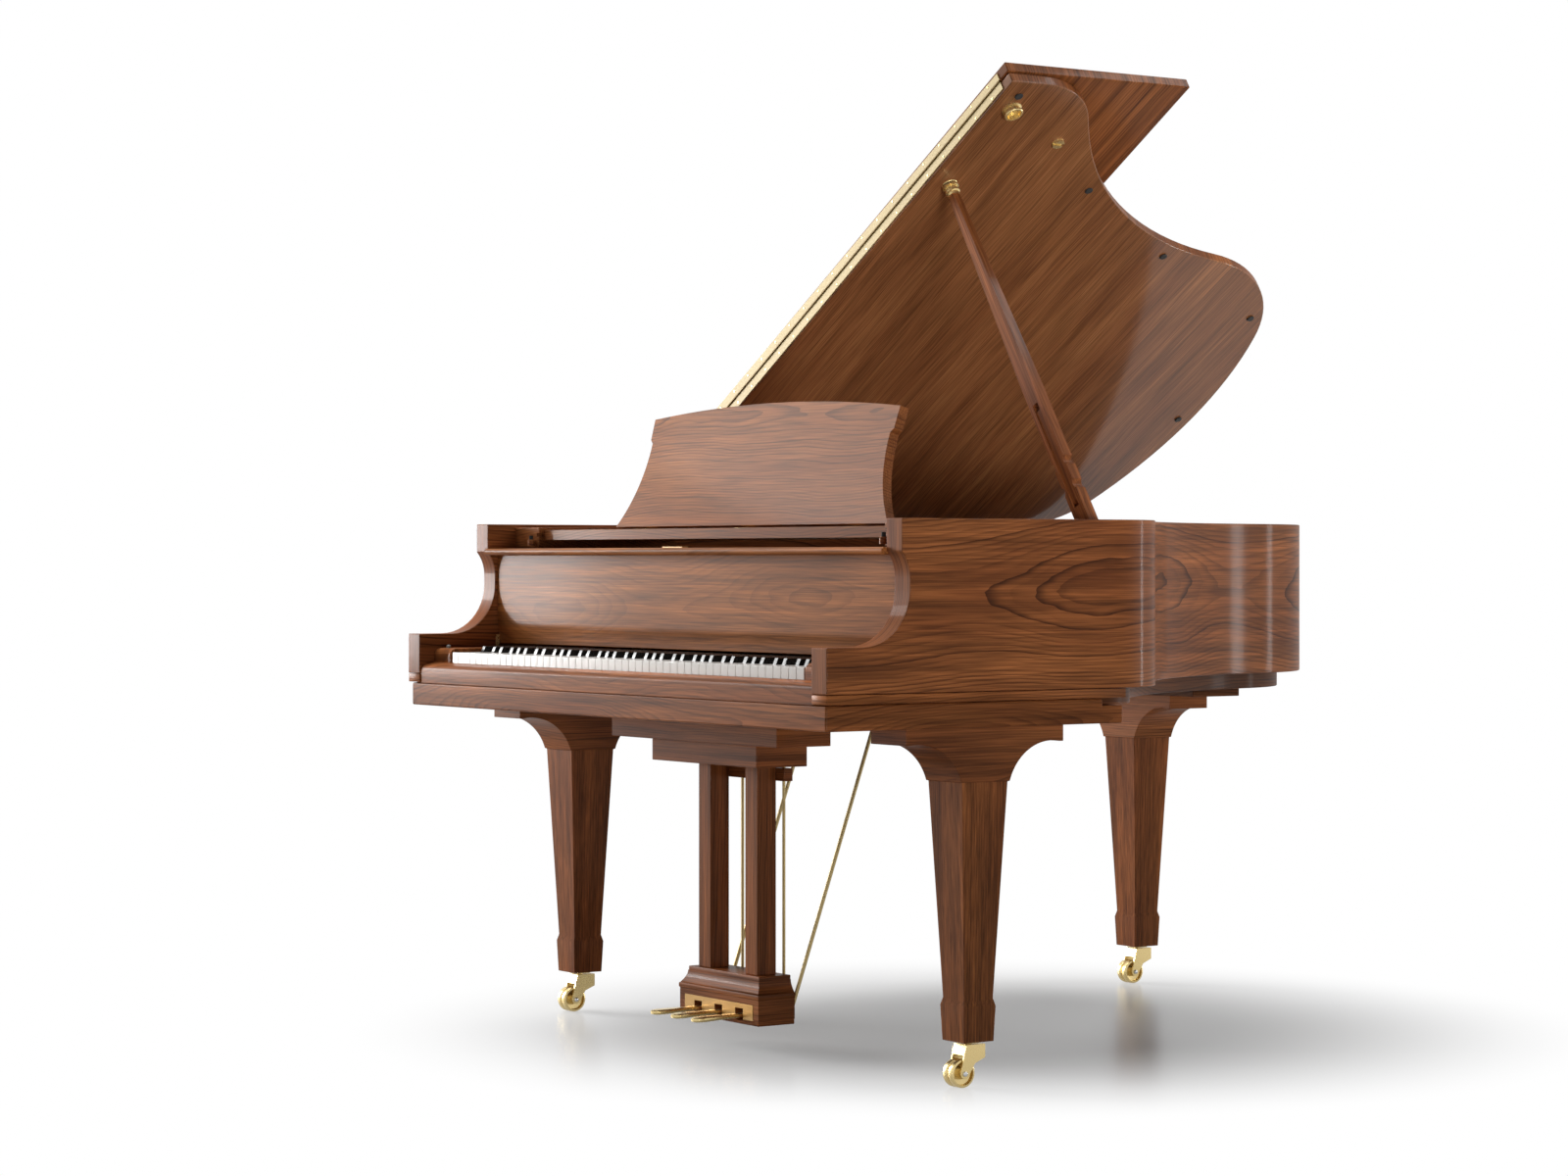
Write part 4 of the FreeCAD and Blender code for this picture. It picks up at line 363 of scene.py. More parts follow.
def plain(name, colour, shade, rough, grain_mm=1.0, metallic=0.0, depth_mm=0.05):
    """An even finish: two close colours in clouds, and a grain that varies the gloss and dents the surface.

    One noise cell holds a light and a dark grain; grains are drawn as coarse as they need to show.
    """
    material, tree = new_finish(name)
    place = add(tree, "ShaderNodeTexCoord")
    grain = add(tree, "ShaderNodeTexNoise", {"Scale": 1000 / (2 * grain_mm), "Detail": 3.0},
                {"Vector": place.outputs["Object"]})
    cloud = add(tree, "ShaderNodeTexNoise", {"Scale": 1000 / CLOUD_MM, "Detail": 3.0},
                {"Vector": place.outputs["Object"]})
    tone = add(tree, "ShaderNodeMix", {"data_type": "RGBA", 6: linear(colour), 7: linear(shade)},
               {0: cloud.outputs["Fac"]})
    dull = add(tree, "ShaderNodeMapRange", {"To Min": rough * 0.8, "To Max": rough * 1.2},
               {"Value": grain.outputs["Fac"]})
    dents = add(tree, "ShaderNodeBump", {"Strength": 0.2, "Distance": depth_mm / 1000},
                {"Height": grain.outputs["Fac"]})
    surface = add(tree, "ShaderNodeBsdfPrincipled", {"Metallic": metallic},
                  {"Base Color": tone.outputs[2], "Roughness": dull.outputs[0], "Normal": dents.outputs[0]})
    add(tree, "ShaderNodeOutputMaterial", None, {"Surface": surface.outputs[0]})
    return material


# Bronze powder in lacquer: dull gold with a fine mottling and a soft metallic sheen.
bronze_paint = plain("bronze_powder_on_cast_iron", "#b98f45", "#a67c36", 0.42, grain_mm=1.2, metallic=0.75)
eased("iron_plate", 2.0, bronze_paint)


def at(x, y, z):
    """A place in the frame from mm right of the middle, behind the arms' fronts and above the floor."""
    return Vector((MIDDLE_X + x / 1000, FRONT_Y + y / 1000, z / 1000))


def new_repeat(name, sockets):
    """An empty Geometry Nodes tree with its named inputs, and its input node."""
    group = bpy.data.node_groups.new(name, "GeometryNodeTree")
    group.interface.new_socket("Geometry", in_out="INPUT", socket_type="NodeSocketGeometry")
    for socket, kind in sockets:
        group.interface.new_socket(socket, in_out="INPUT", socket_type=kind)
    group.interface.new_socket("Finish", in_out="INPUT", socket_type="NodeSocketMaterial")
    group.interface.new_socket("Geometry", in_out="OUTPUT", socket_type="NodeSocketGeometry")
    return group, add(group, "NodeGroupInput")


def end_repeat(group, given, copies):
    """Close a tree: the copies are made real and get the finish that is asked for."""
    real = add(group, "GeometryNodeRealizeInstances", None, {"Geometry": copies.outputs[0]})
    dressed = add(group, "GeometryNodeSetMaterial", None,
                  {"Geometry": real.outputs[0], "Material": given.outputs["Finish"]})
    add(group, "NodeGroupOutput", None, {"Geometry": dressed.outputs[0]})


def repeated(name, spots, group, values, body, finish, runs=()):
    """One mesh of a piece that repeats: the tree sets it on every spot, or along runs from spot to spot."""
    mesh = bpy.data.meshes.new(name)
    mesh.from_pydata(spots, runs, [])
    pattern = bpy.data.objects.new(name + "_pattern", mesh)
    bpy.context.scene.collection.objects.link(pattern)
    modifier = pattern.modifiers.new("repeat", "NODES")
    modifier.node_group = group
    for item in group.interface.items_tree:
        if item.in_out == "INPUT" and item.name in values:
            modifier[item.identifier] = values[item.name]
        if item.in_out == "INPUT" and item.name == "Finish":
            modifier[item.identifier] = finish
    made = bpy.data.meshes.new_from_object(pattern.evaluated_get(bpy.context.evaluated_depsgraph_get()))
    bpy.data.objects.remove(pattern)
    return put(name, made, body, finish)


FLOAT, VECTOR = "NodeSocketFloat", "NodeSocketVector"
# The saw cut in a head, as shares of the head's radius and height; each screw stops at a turn of its own.
CUT_LENGTH, CUT_WIDTH, CUT_DEPTH = 3.0, 0.35, 0.5
LARGEST_TURN = 3.1
screws, given = new_repeat("slotted_screws",
                           (("Head radius", FLOAT), ("Head height", FLOAT), ("Facing", VECTOR)))
head = add(screws, "GeometryNodeMeshCylinder", {"Vertices": 14},
           {"Radius": given.outputs["Head radius"], "Depth": given.outputs["Head height"]})
cut_length = add(screws, "ShaderNodeMath", {"operation": "MULTIPLY", 1: CUT_LENGTH},
                 {0: given.outputs["Head radius"]})
cut_width = add(screws, "ShaderNodeMath", {"operation": "MULTIPLY", 1: CUT_WIDTH},
                {0: given.outputs["Head radius"]})
cut_lift = add(screws, "ShaderNodeMath", {"operation": "MULTIPLY", 1: CUT_DEPTH},
               {0: given.outputs["Head height"]})
cut_size = add(screws, "ShaderNodeCombineXYZ", None,
               {0: cut_length.outputs[0], 1: cut_width.outputs[0], 2: given.outputs["Head height"]})
cut_place = add(screws, "ShaderNodeCombineXYZ", None, {2: cut_lift.outputs[0]})
blade = add(screws, "GeometryNodeMeshCube", None, {"Size": cut_size.outputs[0]})
saw_cut = add(screws, "GeometryNodeTransform", None,
              {"Geometry": blade.outputs["Mesh"], "Translation": cut_place.outputs[0]})
slotted = add(screws, "GeometryNodeMeshBoolean", {"operation": "DIFFERENCE"},
              {"Mesh 1": head.outputs["Mesh"], "Mesh 2": saw_cut.outputs[0]})
driven = add(screws, "GeometryNodeInstanceOnPoints", None,
             {"Points": given.outputs["Geometry"], "Instance": slotted.outputs[0],
              "Rotation": given.outputs["Facing"]})
chance = add(screws, "FunctionNodeRandomValue", {"data_type": "FLOAT", "Seed": 3, 3: LARGEST_TURN})
spin = add(screws, "ShaderNodeCombineXYZ", None, {2: chance.outputs[1]})
stopped = add(screws, "GeometryNodeRotateInstances", None,
              {"Instances": driven.outputs[0], "Rotation": spin.outputs[0]})
end_repeat(screws, given, stopped)

SCREW_LEVEL = 873.5
FLANGE_ROWS, FLANGE_PLACES = (390, 544), range(-640, 641, 128)
BASS_ROW, BASS_PLACES = -655, range(650, 1480, 118)
plate_spots = [at(x, y, SCREW_LEVEL) for y in FLANGE_ROWS for x in FLANGE_PLACES]
plate_spots += [at(BASS_ROW, y, SCREW_LEVEL) for y in BASS_PLACES]
repeated("plate_screws", plate_spots, screws,
         {"Head radius": 0.009, "Head height": 0.005, "Facing": (0, 0, 0)}, "case", bronze_paint)


# Strings and tuning pins: three steel wires to a note in the treble, one or two copper-wound in the bass.
# Each wire runs from its pin over the front bearing to the bridge; its line is read from the note's solid.
def islands(node):
    """The vertices of each separate solid of a CAD node."""
    mesh = merged(node)
    found, reached = [], set()
    for first in mesh.verts:
        if first in reached:
            continue
        group, waiting = [], [first]
        reached.add(first)
        while waiting:
            vertex = waiting.pop()
            group.append(vertex.co.copy())
            for edge in vertex.link_edges:
                other = edge.other_vert(vertex)
                if other not in reached:
                    reached.add(other)
                    waiting.append(other)
        found.append(group)
    mesh.free()
    return found


def middle(points):
    """The mean of some points."""
    return sum(points, Vector()) / len(points)


wires, given = new_repeat("wire_runs", (("Wire radius", FLOAT),))
run = add(wires, "GeometryNodeMeshToCurve", None, {"Mesh": given.outputs["Geometry"]})
ring = add(wires, "GeometryNodeCurvePrimitiveCircle", {"Resolution": 6},
           {"Radius": given.outputs["Wire radius"]})
drawn = add(wires, "GeometryNodeCurveToMesh", {"Fill Caps": True},
            {"Curve": run.outputs[0], "Profile Curve": ring.outputs[0]})
end_repeat(wires, given, drawn)

# The coil of wire round a pin, as shares of the pin's radius and height.
COIL_RADIUS, COIL_HEIGHT = 1.4, 0.25
pins, given = new_repeat("tuning_pins", (("Pin radius", FLOAT), ("Pin height", FLOAT)))
shank = add(pins, "GeometryNodeMeshCylinder", {"Vertices": 8},
            {"Radius": given.outputs["Pin radius"], "Depth": given.outputs["Pin height"]})
coil_radius = add(pins, "ShaderNodeMath", {"operation": "MULTIPLY", 1: COIL_RADIUS},
                  {0: given.outputs["Pin radius"]})
coil_height = add(pins, "ShaderNodeMath", {"operation": "MULTIPLY", 1: COIL_HEIGHT},
                  {0: given.outputs["Pin height"]})
coil = add(pins, "GeometryNodeMeshCylinder", {"Vertices": 10},
           {"Radius": coil_radius.outputs[0], "Depth": coil_height.outputs[0]})
whole = add(pins, "GeometryNodeJoinGeometry")
for solid in (shank, coil):
    pins.links.new(solid.outputs["Mesh"], whole.inputs[0])
driven = add(pins, "GeometryNodeInstanceOnPoints", None,
             {"Points": given.outputs["Geometry"], "Instance": whole.outputs[0]})
end_repeat(pins, given, driven)

# Drawn steel: bright grey with a narrow shine along each wire.
steel_wire = plain("drawn_steel_wire", "#c4c4c1", "#adada9", 0.28, metallic=1.0)
# Copper winding: reddish and duller, since its turns scatter the light.
copper_wire = plain("copper_wound_wire", "#b06a44", "#9c5936", 0.36, metallic=1.0)
WIRE_STEP, PIN_STEP = 0.0034, 0.011
STEEL_RADIUS, COPPER_RADIUS = 0.0006, 0.0014
SINGLE_NOTES = 10
# Among the solids a pin is taller than any string, and a wound string is thicker than a plain one.
TALL, THICK, END_SLICE = 0.02, 0.003, 0.004
notes, pin_of = [], {}
for group in islands("strings_and_pins"):
    heights = [p.z for p in group]
    tall = max(heights) - min(heights)
    if tall > TALL:
        pin_of[round(middle(group).x, 3)] = middle(group)
        continue
    front = min(p.y for p in group)
    back = max(p.y for p in group)
    notes.append((middle([p for p in group if p.y < front + END_SLICE]),
                  middle([p for p in group if p.y > back - END_SLICE]), tall > THICK))
notes.sort(key=lambda note: (not note[2], note[0].x))
steel_runs, copper_runs, pin_spots = [], [], []
for index, (front, back, wound) in enumerate(notes):
    pin = pin_of[round(front.x, 3)]
    count = 3 if not wound else 1 if index < SINGLE_NOTES else 2
    for k in range(count):
        step = k - (count - 1) / 2
        aside = Vector((step * WIRE_STEP, 0, 0))
        peg = pin + aside + Vector((0, step * PIN_STEP, 0))
        pin_spots.append(peg)
        (copper_runs if wound else steel_runs).append((peg, front + aside, back + aside))
for name, runs, radius, finish in (("steel_strings", steel_runs, STEEL_RADIUS, steel_wire),
                                   ("copper_wound_strings", copper_runs, COPPER_RADIUS, copper_wire)):
    spots = [spot for run in runs for spot in run]
    lengths = [(3 * i + j, 3 * i + j + 1) for i in range(len(runs)) for j in (0, 1)]
    strings = repeated(name, spots, wires, {"Wire radius": radius}, "case", finish, lengths)
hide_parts("strings_and_pins")
repeated("tuning_pins", pin_spots, pins, {"Pin radius": 0.0033, "Pin height": 0.026}, "case", steel_wire)

# Dampers: a black lacquered head over a wedge of white felt for each note that has one.
# The felts rest just over the strings, and the heads ride up with them.
blocks, given = new_repeat("blocks_in_a_row", (("Block size", VECTOR),))
brick = add(blocks, "GeometryNodeMeshCube", None, {"Size": given.outputs["Block size"]})
laid = add(blocks, "GeometryNodeInstanceOnPoints", None,
           {"Points": given.outputs["Geometry"], "Instance": brick.outputs["Mesh"]})
end_repeat(blocks, given, laid)
# Sprayed lacquer: a deep even black with a soft shine.
black_lacquer = plain("black_lacquered_damper_wood", "#141312", "#1d1b1a", 0.35, grain_mm=2.0)
# Pressed wool: warm white, quite dull, with a fibrous surface.
white_felt = plain("white_wool_felt", "#e4ded0", "#d8d1c2", 0.9, grain_mm=0.8, depth_mm=0.2)
FELT_SIZE, HEAD_SIZE = (0.0075, 0.033, 0.009), (0.0068, 0.031, 0.016)
solids = islands("dampers")
felt_spots = [Vector((middle(s).x, middle(s).y, min(p.z for p in s) + FELT_SIZE[2] / 2)) for s in solids]
head_spots = [spot + Vector((0, 0, (FELT_SIZE[2] + HEAD_SIZE[2]) / 2)) for spot in felt_spots]
repeated("damper_felts", felt_spots, blocks, {"Block size": FELT_SIZE}, "dampers", white_felt)
damper_heads = repeated("damper_heads", head_spots, blocks, {"Block size": HEAD_SIZE}, "dampers",
                        black_lacquer)
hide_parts("dampers")

# Key bed, key slip and cheek blocks: walnut-faced boards under and round the keyboard, glued and screwed.
# A flush strip closes the step between the rim's foot and the bed, with a fine groove above and below it.
# Small grey rubber bumpers on the cheeks catch the closed fallboard.

# The case's walnut with the figure lying level: closer lines, and less shine low down.
bed_veneer = timber("walnut_veneer_on_the_key_bed", (1, 1, 0), (0, 0, 1), 0.62, depth=0.04, pitch=0.0045,
                    sway=0.05, lines=0.6, gloss=0.04)
# Narrow boards with straight calm grain across the piano.
slip_veneer = timber("walnut_on_slip_and_cheeks", (1, 0, 0), (0, 0.5, 0.85), 0.20, pitch=0.004, lines=0.5)
eased("key_bed", 3.0, bed_veneer)
eased("key_slip", 1.2, slip_veneer)
eased("cheek_blocks", 1.2, slip_veneer)
RIM_FOOT = (686.4, 0.4), (731.4, 0.4), (731.4, 646), (715.2, 646), (715.2, 11.8), (686.4, 11.8)
STRIP_LOW, STRIP_HEIGHT, STRIP_EASE = 674.4, 0.016, 0.0012
for side, hand in (("bass", -1), ("treble", 1)):
    strip = bmesh.new()
    outline = strip.faces.new([strip.verts.new(at(hand * x, y, STRIP_LOW)) for x, y in RIM_FOOT])
    drawn_up = bmesh.ops.extrude_face_region(strip, geom=[outline])["geom"]
    corners = [item for item in drawn_up if isinstance(item, bmesh.types.BMVert)]
    bmesh.ops.translate(strip, verts=corners, vec=(0, 0, STRIP_HEIGHT))
    bmesh.ops.bevel(strip, geom=strip.edges, offset=STRIP_EASE, segments=2, profile=0.5, affect="EDGES")
    put("rim_foot_strip_" + side, strip, "case", bed_veneer)


def skin(mesh, rows, ring=False):
    """Faces between neighbouring rows of corners, with a cap at each end, or closed on itself as a ring."""
    sides = max(len(row) for row in rows)
    pairs = list(zip(rows, rows[1:])) + ([(rows[-1], rows[0])] if ring else [])
    for low, high in pairs:
        for k in range(sides):
            corners = []
            for row, place in ((low, k), (low, k + 1), (high, k + 1), (high, k)):
                corner = row[place % len(row)]
                if corner not in corners:
                    corners.append(corner)
            mesh.faces.new(corners)
    if not ring:
        for row in (rows[0], rows[-1]):
            if len(row) > 1:
                mesh.faces.new(row)


def turned(mesh, profile, foot, axis, sides=32, ring=False):
    """Add a lathe-turned solid: (radius, height) steps in mm round an axis through its foot."""
    upright = Vector((0, 0, 1)).rotation_difference(Vector(axis)).to_matrix()
    rows = []
    for radius, height in profile:
        row = []
        for k in range(sides if radius > 0 else 1):
            angle = 2 * math.pi * k / sides
            spot = Vector((radius * math.cos(angle), radius * math.sin(angle), height)) / 1000
            row.append(mesh.verts.new(foot + upright @ spot))
        rows.append(row)
    skin(mesh, rows, ring)


UP, DOWN, RIGHT = Vector((0, 0, 1)), Vector((0, 0, -1)), Vector((1, 0, 0))
# Moulded rubber: an even mid grey, dull.
grey_rubber = plain("grey_rubber", "#7d7c79", "#6f6e6b", 0.6, grain_mm=1.5)
BUMPER = [(0, 0), (4.5, 0), (4.5, 4), (3.6, 5.6), (2, 6.3), (0, 6.5)]
BUMPER_X, BUMPER_Y, CHEEK_TOP = 660, 52, 741.8
bumpers = bmesh.new()
for x in (-BUMPER_X, BUMPER_X):
    turned(bumpers, BUMPER, at(x, BUMPER_Y, CHEEK_TOP), UP, 20)
put("cheek_bumpers", bumpers, "case", grey_rubber)

# Keys: spruce levers topped with white acrylic, and sharps of black phenolic resin.
# The tops are moulded and polished, then glued on; all keys of one note name make one piece.

# Polished acrylic: a slightly warm white with a clear shine.
acrylic = plain("white_acrylic_key_tops", "#dcd9d5", "#d5d2cc", 0.18, grain_mm=4.0, depth_mm=0.01)
# Phenolic resin: black, and a little duller than the white tops.
phenolic = plain("black_phenolic_sharps", "#121212", "#191919", 0.28, grain_mm=2.0, depth_mm=0.01)
for body in frame["bodies"]:
    if body.startswith("keys_"):
        eased(body, 0.8, phenolic if "sharp" in body else acrylic)

# Fallboard: a walnut board with a rolled foot and a half-round lip, swung up behind the keys.
# It turns on two brass pivot plates at its ends; its brass lock plate is let into the lip.

# A calm, reddish cut with soft lines across the whole width.
fall_veneer = timber("walnut_veneer_on_the_fallboard", (1, 0, 0), (0, 0.5, 0.85), 0.36, depth=0.03,
                     pitch=0.006, lines=0.32, light="#ad6c3c", mid="#8a5229", smoky=0.34)
eased("fallboard", 1.2, fall_veneer)
# Polished brass: pale gold with blurred reflections, a little yellowed by its lacquer.
brass = plain("polished_brass", "#e6cf96", "#dcc284", 0.28, grain_mm=3.0, metallic=0.85, depth_mm=0.002)
# Brushed brass: an even tan, with hardly any reflection.
lock_brass = plain("brushed_brass_of_the_lock", "#c9a066", "#bd935a", 0.5, grain_mm=2.0, metallic=0.35,
                   depth_mm=0.004)
eased("fallboard_lock", 0.4, lock_brass)


def block(mesh, low, high):
    """Add a square-edged block between two corners."""
    made = bmesh.ops.create_cube(mesh, size=1.0)
    size = [h - l for l, h in zip(low, high)]
    for vertex in made["verts"]:
        vertex.co = [l + s * (c + 0.5) for l, s, c in zip(low, size, vertex.co)]


PIVOT_X, PIVOT_HALF = 685.85, 0.15
PIVOT_FRONT, PIVOT_BACK, PIVOT_LOW, PIVOT_TOP = 174, 183, 742, 767
pivots = bmesh.new()
for x in (-PIVOT_X, PIVOT_X):
    block(pivots, at(x - PIVOT_HALF, PIVOT_FRONT, PIVOT_LOW), at(x + PIVOT_HALF, PIVOT_BACK, PIVOT_TOP))
put("fallboard_pivot_plates", pivots, "case", brass)

# Music desk: a flared board with an arched crown, hinged on a tray that slides on two side rails.
# Walnut veneer with the figure lying across; brass butt hinges join desk and tray.
# A turned walnut peg with a felt pad stops the tray before each rail.

# Flat-sawn and evenly lit: clear wide lines on a lighter brown, few smoky streaks.
desk_veneer = timber("walnut_veneer_on_the_desk", (1, 0, 0), (0, 0.3, 0.95), 0.96, depth=0.04,
                     pitch=0.0055, light="#9d6339", mid="#86502c", lines=0.75, smoky=0.15)
for node in ("desk_rails", "desk_tray", "music_desk", "desk_strut"):
    eased(node, 1.2, desk_veneer)
HINGE_PLACES, HINGE_HALF = (-347, 7, 361), 24
HINGE_FRONT, HINGE_BACK, HINGE_LOW, HINGE_TOP = 309, 333, 977, 978.2
hinges = bmesh.new()
for x in HINGE_PLACES:
    block(hinges, at(x - HINGE_HALF, HINGE_FRONT, HINGE_LOW), at(x + HINGE_HALF, HINGE_BACK, HINGE_TOP))
put("desk_hinge_leaves", hinges, "desk_tray", brass)
PEG_X, PEG_Y = 604, 209
STEM_HALF, STEM_BACK, STEM_LOW, STEM_TOP = 3, 220, 946, 955
PEG = [(0, 945), (7.5, 945), (7.5, 956), (6, 958), (0, 958)]
PAD = [(0, 958), (4, 958), (4, 966), (0, 966)]
pegs, pads = bmesh.new(), bmesh.new()
for x in (-PEG_X, PEG_X):
    turned(pegs, PEG, at(x, PEG_Y, 0), UP, 24)
    block(pegs, at(x - STEM_HALF, PEG_Y, STEM_LOW), at(x + STEM_HALF, STEM_BACK, STEM_TOP))
    turned(pads, PAD, at(x, PEG_Y, 0), UP, 20)
put("stop_pegs", pegs, "case", desk_veneer)
# Pressed wool dyed black: takes all light.
black_felt = plain("black_felt", "#151413", "#1c1b1a", 0.9, grain_mm=0.8, depth_mm=0.2)
put("stop_pads", pads, "case", black_felt)

# Lid: two walnut-veneered boards, the front one folded back on the main one.
# The grain runs from the spine to the treble side.
# Long brass hinge strips are screwed to the meeting edges, and rubber buttons sit under the main board.
LID_SLANT, HINGE_X, LID_SIDE, LID_BOTTOM, LID_FRONT = 32.0, -740.0, 724.0, 993.0, 555.5
hinge_line = at(HINGE_X, 0, LID_BOTTOM)
OPEN = (Matrix.Translation(hinge_line) @ Matrix.Rotation(math.radians(-LID_SLANT), 4, "Y")
        @ Matrix.Translation(-hinge_line))
SHUT = OPEN.inverted()
# The underside is lacquered to a higher shine and mirrors the room at a slant; its paler, redder colour than
# the top is painted light, for the light that reaches it from below.
under_veneer_painted_paler = timber("walnut_veneer_under_the_lid_painted_paler", (1, 0, 1), (0, 1, 0), -1.3, depth=0.25, swing=0.25,
                      pitch=0.005, sway=0.12, light="#b0754a", mid="#8a5635", dark="#3a1c10", lines=0.5,
                      gloss=0.4, smoky=0.25)
# The top is satin like the case.
top_veneer = timber("walnut_veneer_on_the_lid", (1, 0, 1), (0, 1, 0), -1.3, depth=0.25, swing=0.25,
                    pitch=0.007, sway=0.12, lines=0.5)
main_lid = eased("main_lid", 2.0, under_veneer_painted_paler)
second_finish(main_lid, top_veneer, lambda spot, normal: normal.z > 0.3)
eased("front_lid", 2.0, top_veneer)
# Lacquered brass that is seldom wiped: dull straw yellow.
satin_brass = plain("lacquered_brass_strip", "#b8a26c", "#ab9560", 0.55, grain_mm=2.0, metallic=0.12,
                    depth_mm=0.02)
# The same metal in the joint between the two leaves, darkened to paint the shade in the recessed joint.
joint_shade_brass = plain("brass_darkened_as_painted_joint_shade", "#5d4a25", "#4a3a1c", 0.5, grain_mm=2.0, metallic=1.0, depth_mm=0.02)
PAST_SPINE = hinge_line.x + 0.02
JOINT_LOW, JOINT_HIGH = 1.0133, 1.0177
# A little wood shows outside each leaf, so the strips are set in from the boards' faces.
WOOD_SHOWING, LOW_EDGE, HIGH_EDGE = 0.0045, 0.998, 1.033


def in_the_joint(spot, normal):
    """Whether a face lies in the joint between the two leaves, with the lid thought shut."""
    return JOINT_LOW < (SHUT @ spot).z < JOINT_HIGH and spot.x > PAST_SPINE


for node in ("lid_hinge_leaves", "flap_hinge_leaf"):
    strip = eased(node, 0.3, satin_brass)
    for vertex in strip.data.vertices:
        spot = SHUT @ vertex.co
        if spot.x > PAST_SPINE and not LOW_EDGE < spot.z < HIGH_EDGE:
            spot.z += WOOD_SHOWING if spot.z < LOW_EDGE else -WOOD_SHOWING
            vertex.co = OPEN @ spot
    # The faces in the joint get the darker brass: painted shade for the recessed knuckle.
    second_finish(strip, joint_shade_brass, in_the_joint)
eased("case_hinges", 0.3, brass)
STRIP_FACE, SCREW_PLACES = 553.4, range(-708, 700, 58)
SCREW_FACING = (math.radians(90), math.radians(-LID_SLANT), 0)
for name, height, body in (("lid_strip_screws", 1002.5, "lid"), ("flap_strip_screws", 1028.5, "flap")):
    spots = [OPEN @ at(x, STRIP_FACE, height) for x in SCREW_PLACES]
    repeated(name, spots, screws, {"Head radius": 0.002, "Head height": 0.0009, "Facing": SCREW_FACING}, body,
             brass)
# Moulded rubber: black and dull.
rubber = plain("black_rubber", "#171615", "#201f1d", 0.7, grain_mm=1.5)
eased("lid_buttons", 1.5, rubber)


# Fittings under the lid: turned brass cups for the two props and a slotted turn button that locks the flap.
# Each is screwed on with its flange flat on the veneer; the button is two half-moons with a slot between.
def under_lid(inset, back):
    """A place on the lid's underside, in from the treble side and behind the front edge, in mm."""
    return OPEN @ at(LID_SIDE - inset, LID_FRONT + back, LID_BOTTOM)


LID_DOWN, LID_RIGHT, LID_BACK = OPEN.to_3x3() @ DOWN, OPEN.to_3x3() @ RIGHT, Vector((0, 1, 0))
SHORT_CUP = [(0, 0), (15, 0), (15, 1.2), (14.2, 2), (0, 2)]
LONG_CUP = [(0, 0), (19, 0), (19, 2.5), (15.5, 4), (15.5, 9), (18, 10.5), (18, 14), (17, 15), (14, 15),
            (12.5, 7), (0, 5.5)]
BUTTON_FLANGE = [(0, 0), (12, 0), (12, 1.5), (11, 2), (0, 2)]
HALF_SLOT, MOON_WIDTH, MOON_RADIUS, MOON_LOW, MOON_TOP = 0.0012, 0.0105, 0.0112, 0.0018, 0.006
fittings = bmesh.new()
turned(fittings, SHORT_CUP, under_lid(281, 50.5), LID_DOWN)
turned(fittings, LONG_CUP, under_lid(52, 46.5), LID_DOWN)
button = under_lid(136, 210.5)
turned(fittings, BUTTON_FLANGE, button, LID_DOWN, 24)
for hand in (1, -1):
    moon = []
    for degrees in range(-80, 81, 20):
        out = HALF_SLOT + MOON_WIDTH * max(0, math.cos(math.radians(degrees)))
        along = MOON_RADIUS * math.sin(math.radians(degrees))
        moon.append(LID_RIGHT * (hand * out) + LID_BACK * along)
    skin(fittings, [[fittings.verts.new(button + spot + LID_DOWN * level) for spot in moon]
                    for level in (MOON_LOW, MOON_TOP)])
cups = put("lid_cups_and_turn_button", fittings, "lid", brass)
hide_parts("lid_fittings")

# Lid props: a tapered walnut stick with a short prop lying in its slot, and a stepped brass ferrule on top.
# Cut from straight wood, so that the grain runs along the stick.
prop_foot = at(664, 625, 962)
prop_tip = OPEN @ at(443, 606, 990.6)
prop_axis = (prop_tip - prop_foot).normalized()
lean = prop_axis.to_track_quat("Z", "Y").inverted().to_euler()
# Solid walnut: straight close lines from end to end.
prop_grain = timber("walnut_solid_in_the_props", (0, 0, 1), (0.7, 0.7, 0), 0.9, pitch=0.004,
                    turn=tuple(lean), lines=0.5)
eased("lid_prop", 2.5, prop_grain)
eased("short_prop", 2.0, prop_grain)
FERRULE = [(0, -24), (11.5, -24), (11.5, -19), (14, -17.5), (14, -12.5), (12.4, -11.5), (12.4, -7.5),
           (15.8, -6.5), (15.8, -3), (10, -2), (0, -2)]
ferrule = bmesh.new()
turned(ferrule, FERRULE, prop_tip, prop_axis)
put("prop_ferrule", ferrule, "lid_prop", brass)

# Legs: solid walnut, square and tapered, each under a wide bracket whose grain lies level.
# Screwed into the key bed and the plate under the tail.
# A round brass plate under each foot takes the caster.

# Solid walnut: close upright lines that hardly wander.
leg_grain = timber("walnut_solid_in_the_legs", (0, 0, 1), (0.75, 0.66, 0), 2.0, pitch=0.004, sway=0.03,
                   lines=0.5)
# Veneer over the bracket's curve: the same wood with level lines.
bracket_grain = timber("walnut_veneer_on_the_brackets", (1, 1, 0), (0, 0, 1), 0.52, depth=0.03, pitch=0.0045,
                       sway=0.03, lines=0.5)
LEG_PLACES = ("left", -654.8, 353.5), ("right", 654.8, 353.5), ("rear", -405.5, 1614.5)
BRACKET_LOW, FOOT_LOW = 0.5335, 80.0
CASTER_PLATE = [(6, -2.2), (22, -2.2), (23, -1), (23, 0), (6, 0)]
plates = bmesh.new()
for side, x, y in LEG_PLACES:
    leg = eased(side + "_leg", 2.2, leg_grain)
    second_finish(leg, bracket_grain, lambda spot, normal: spot.z > BRACKET_LOW)
    turned(plates, CASTER_PLATE, at(x, y, FOOT_LOW), UP, 32, True)
put("caster_plates", plates, "case", brass)

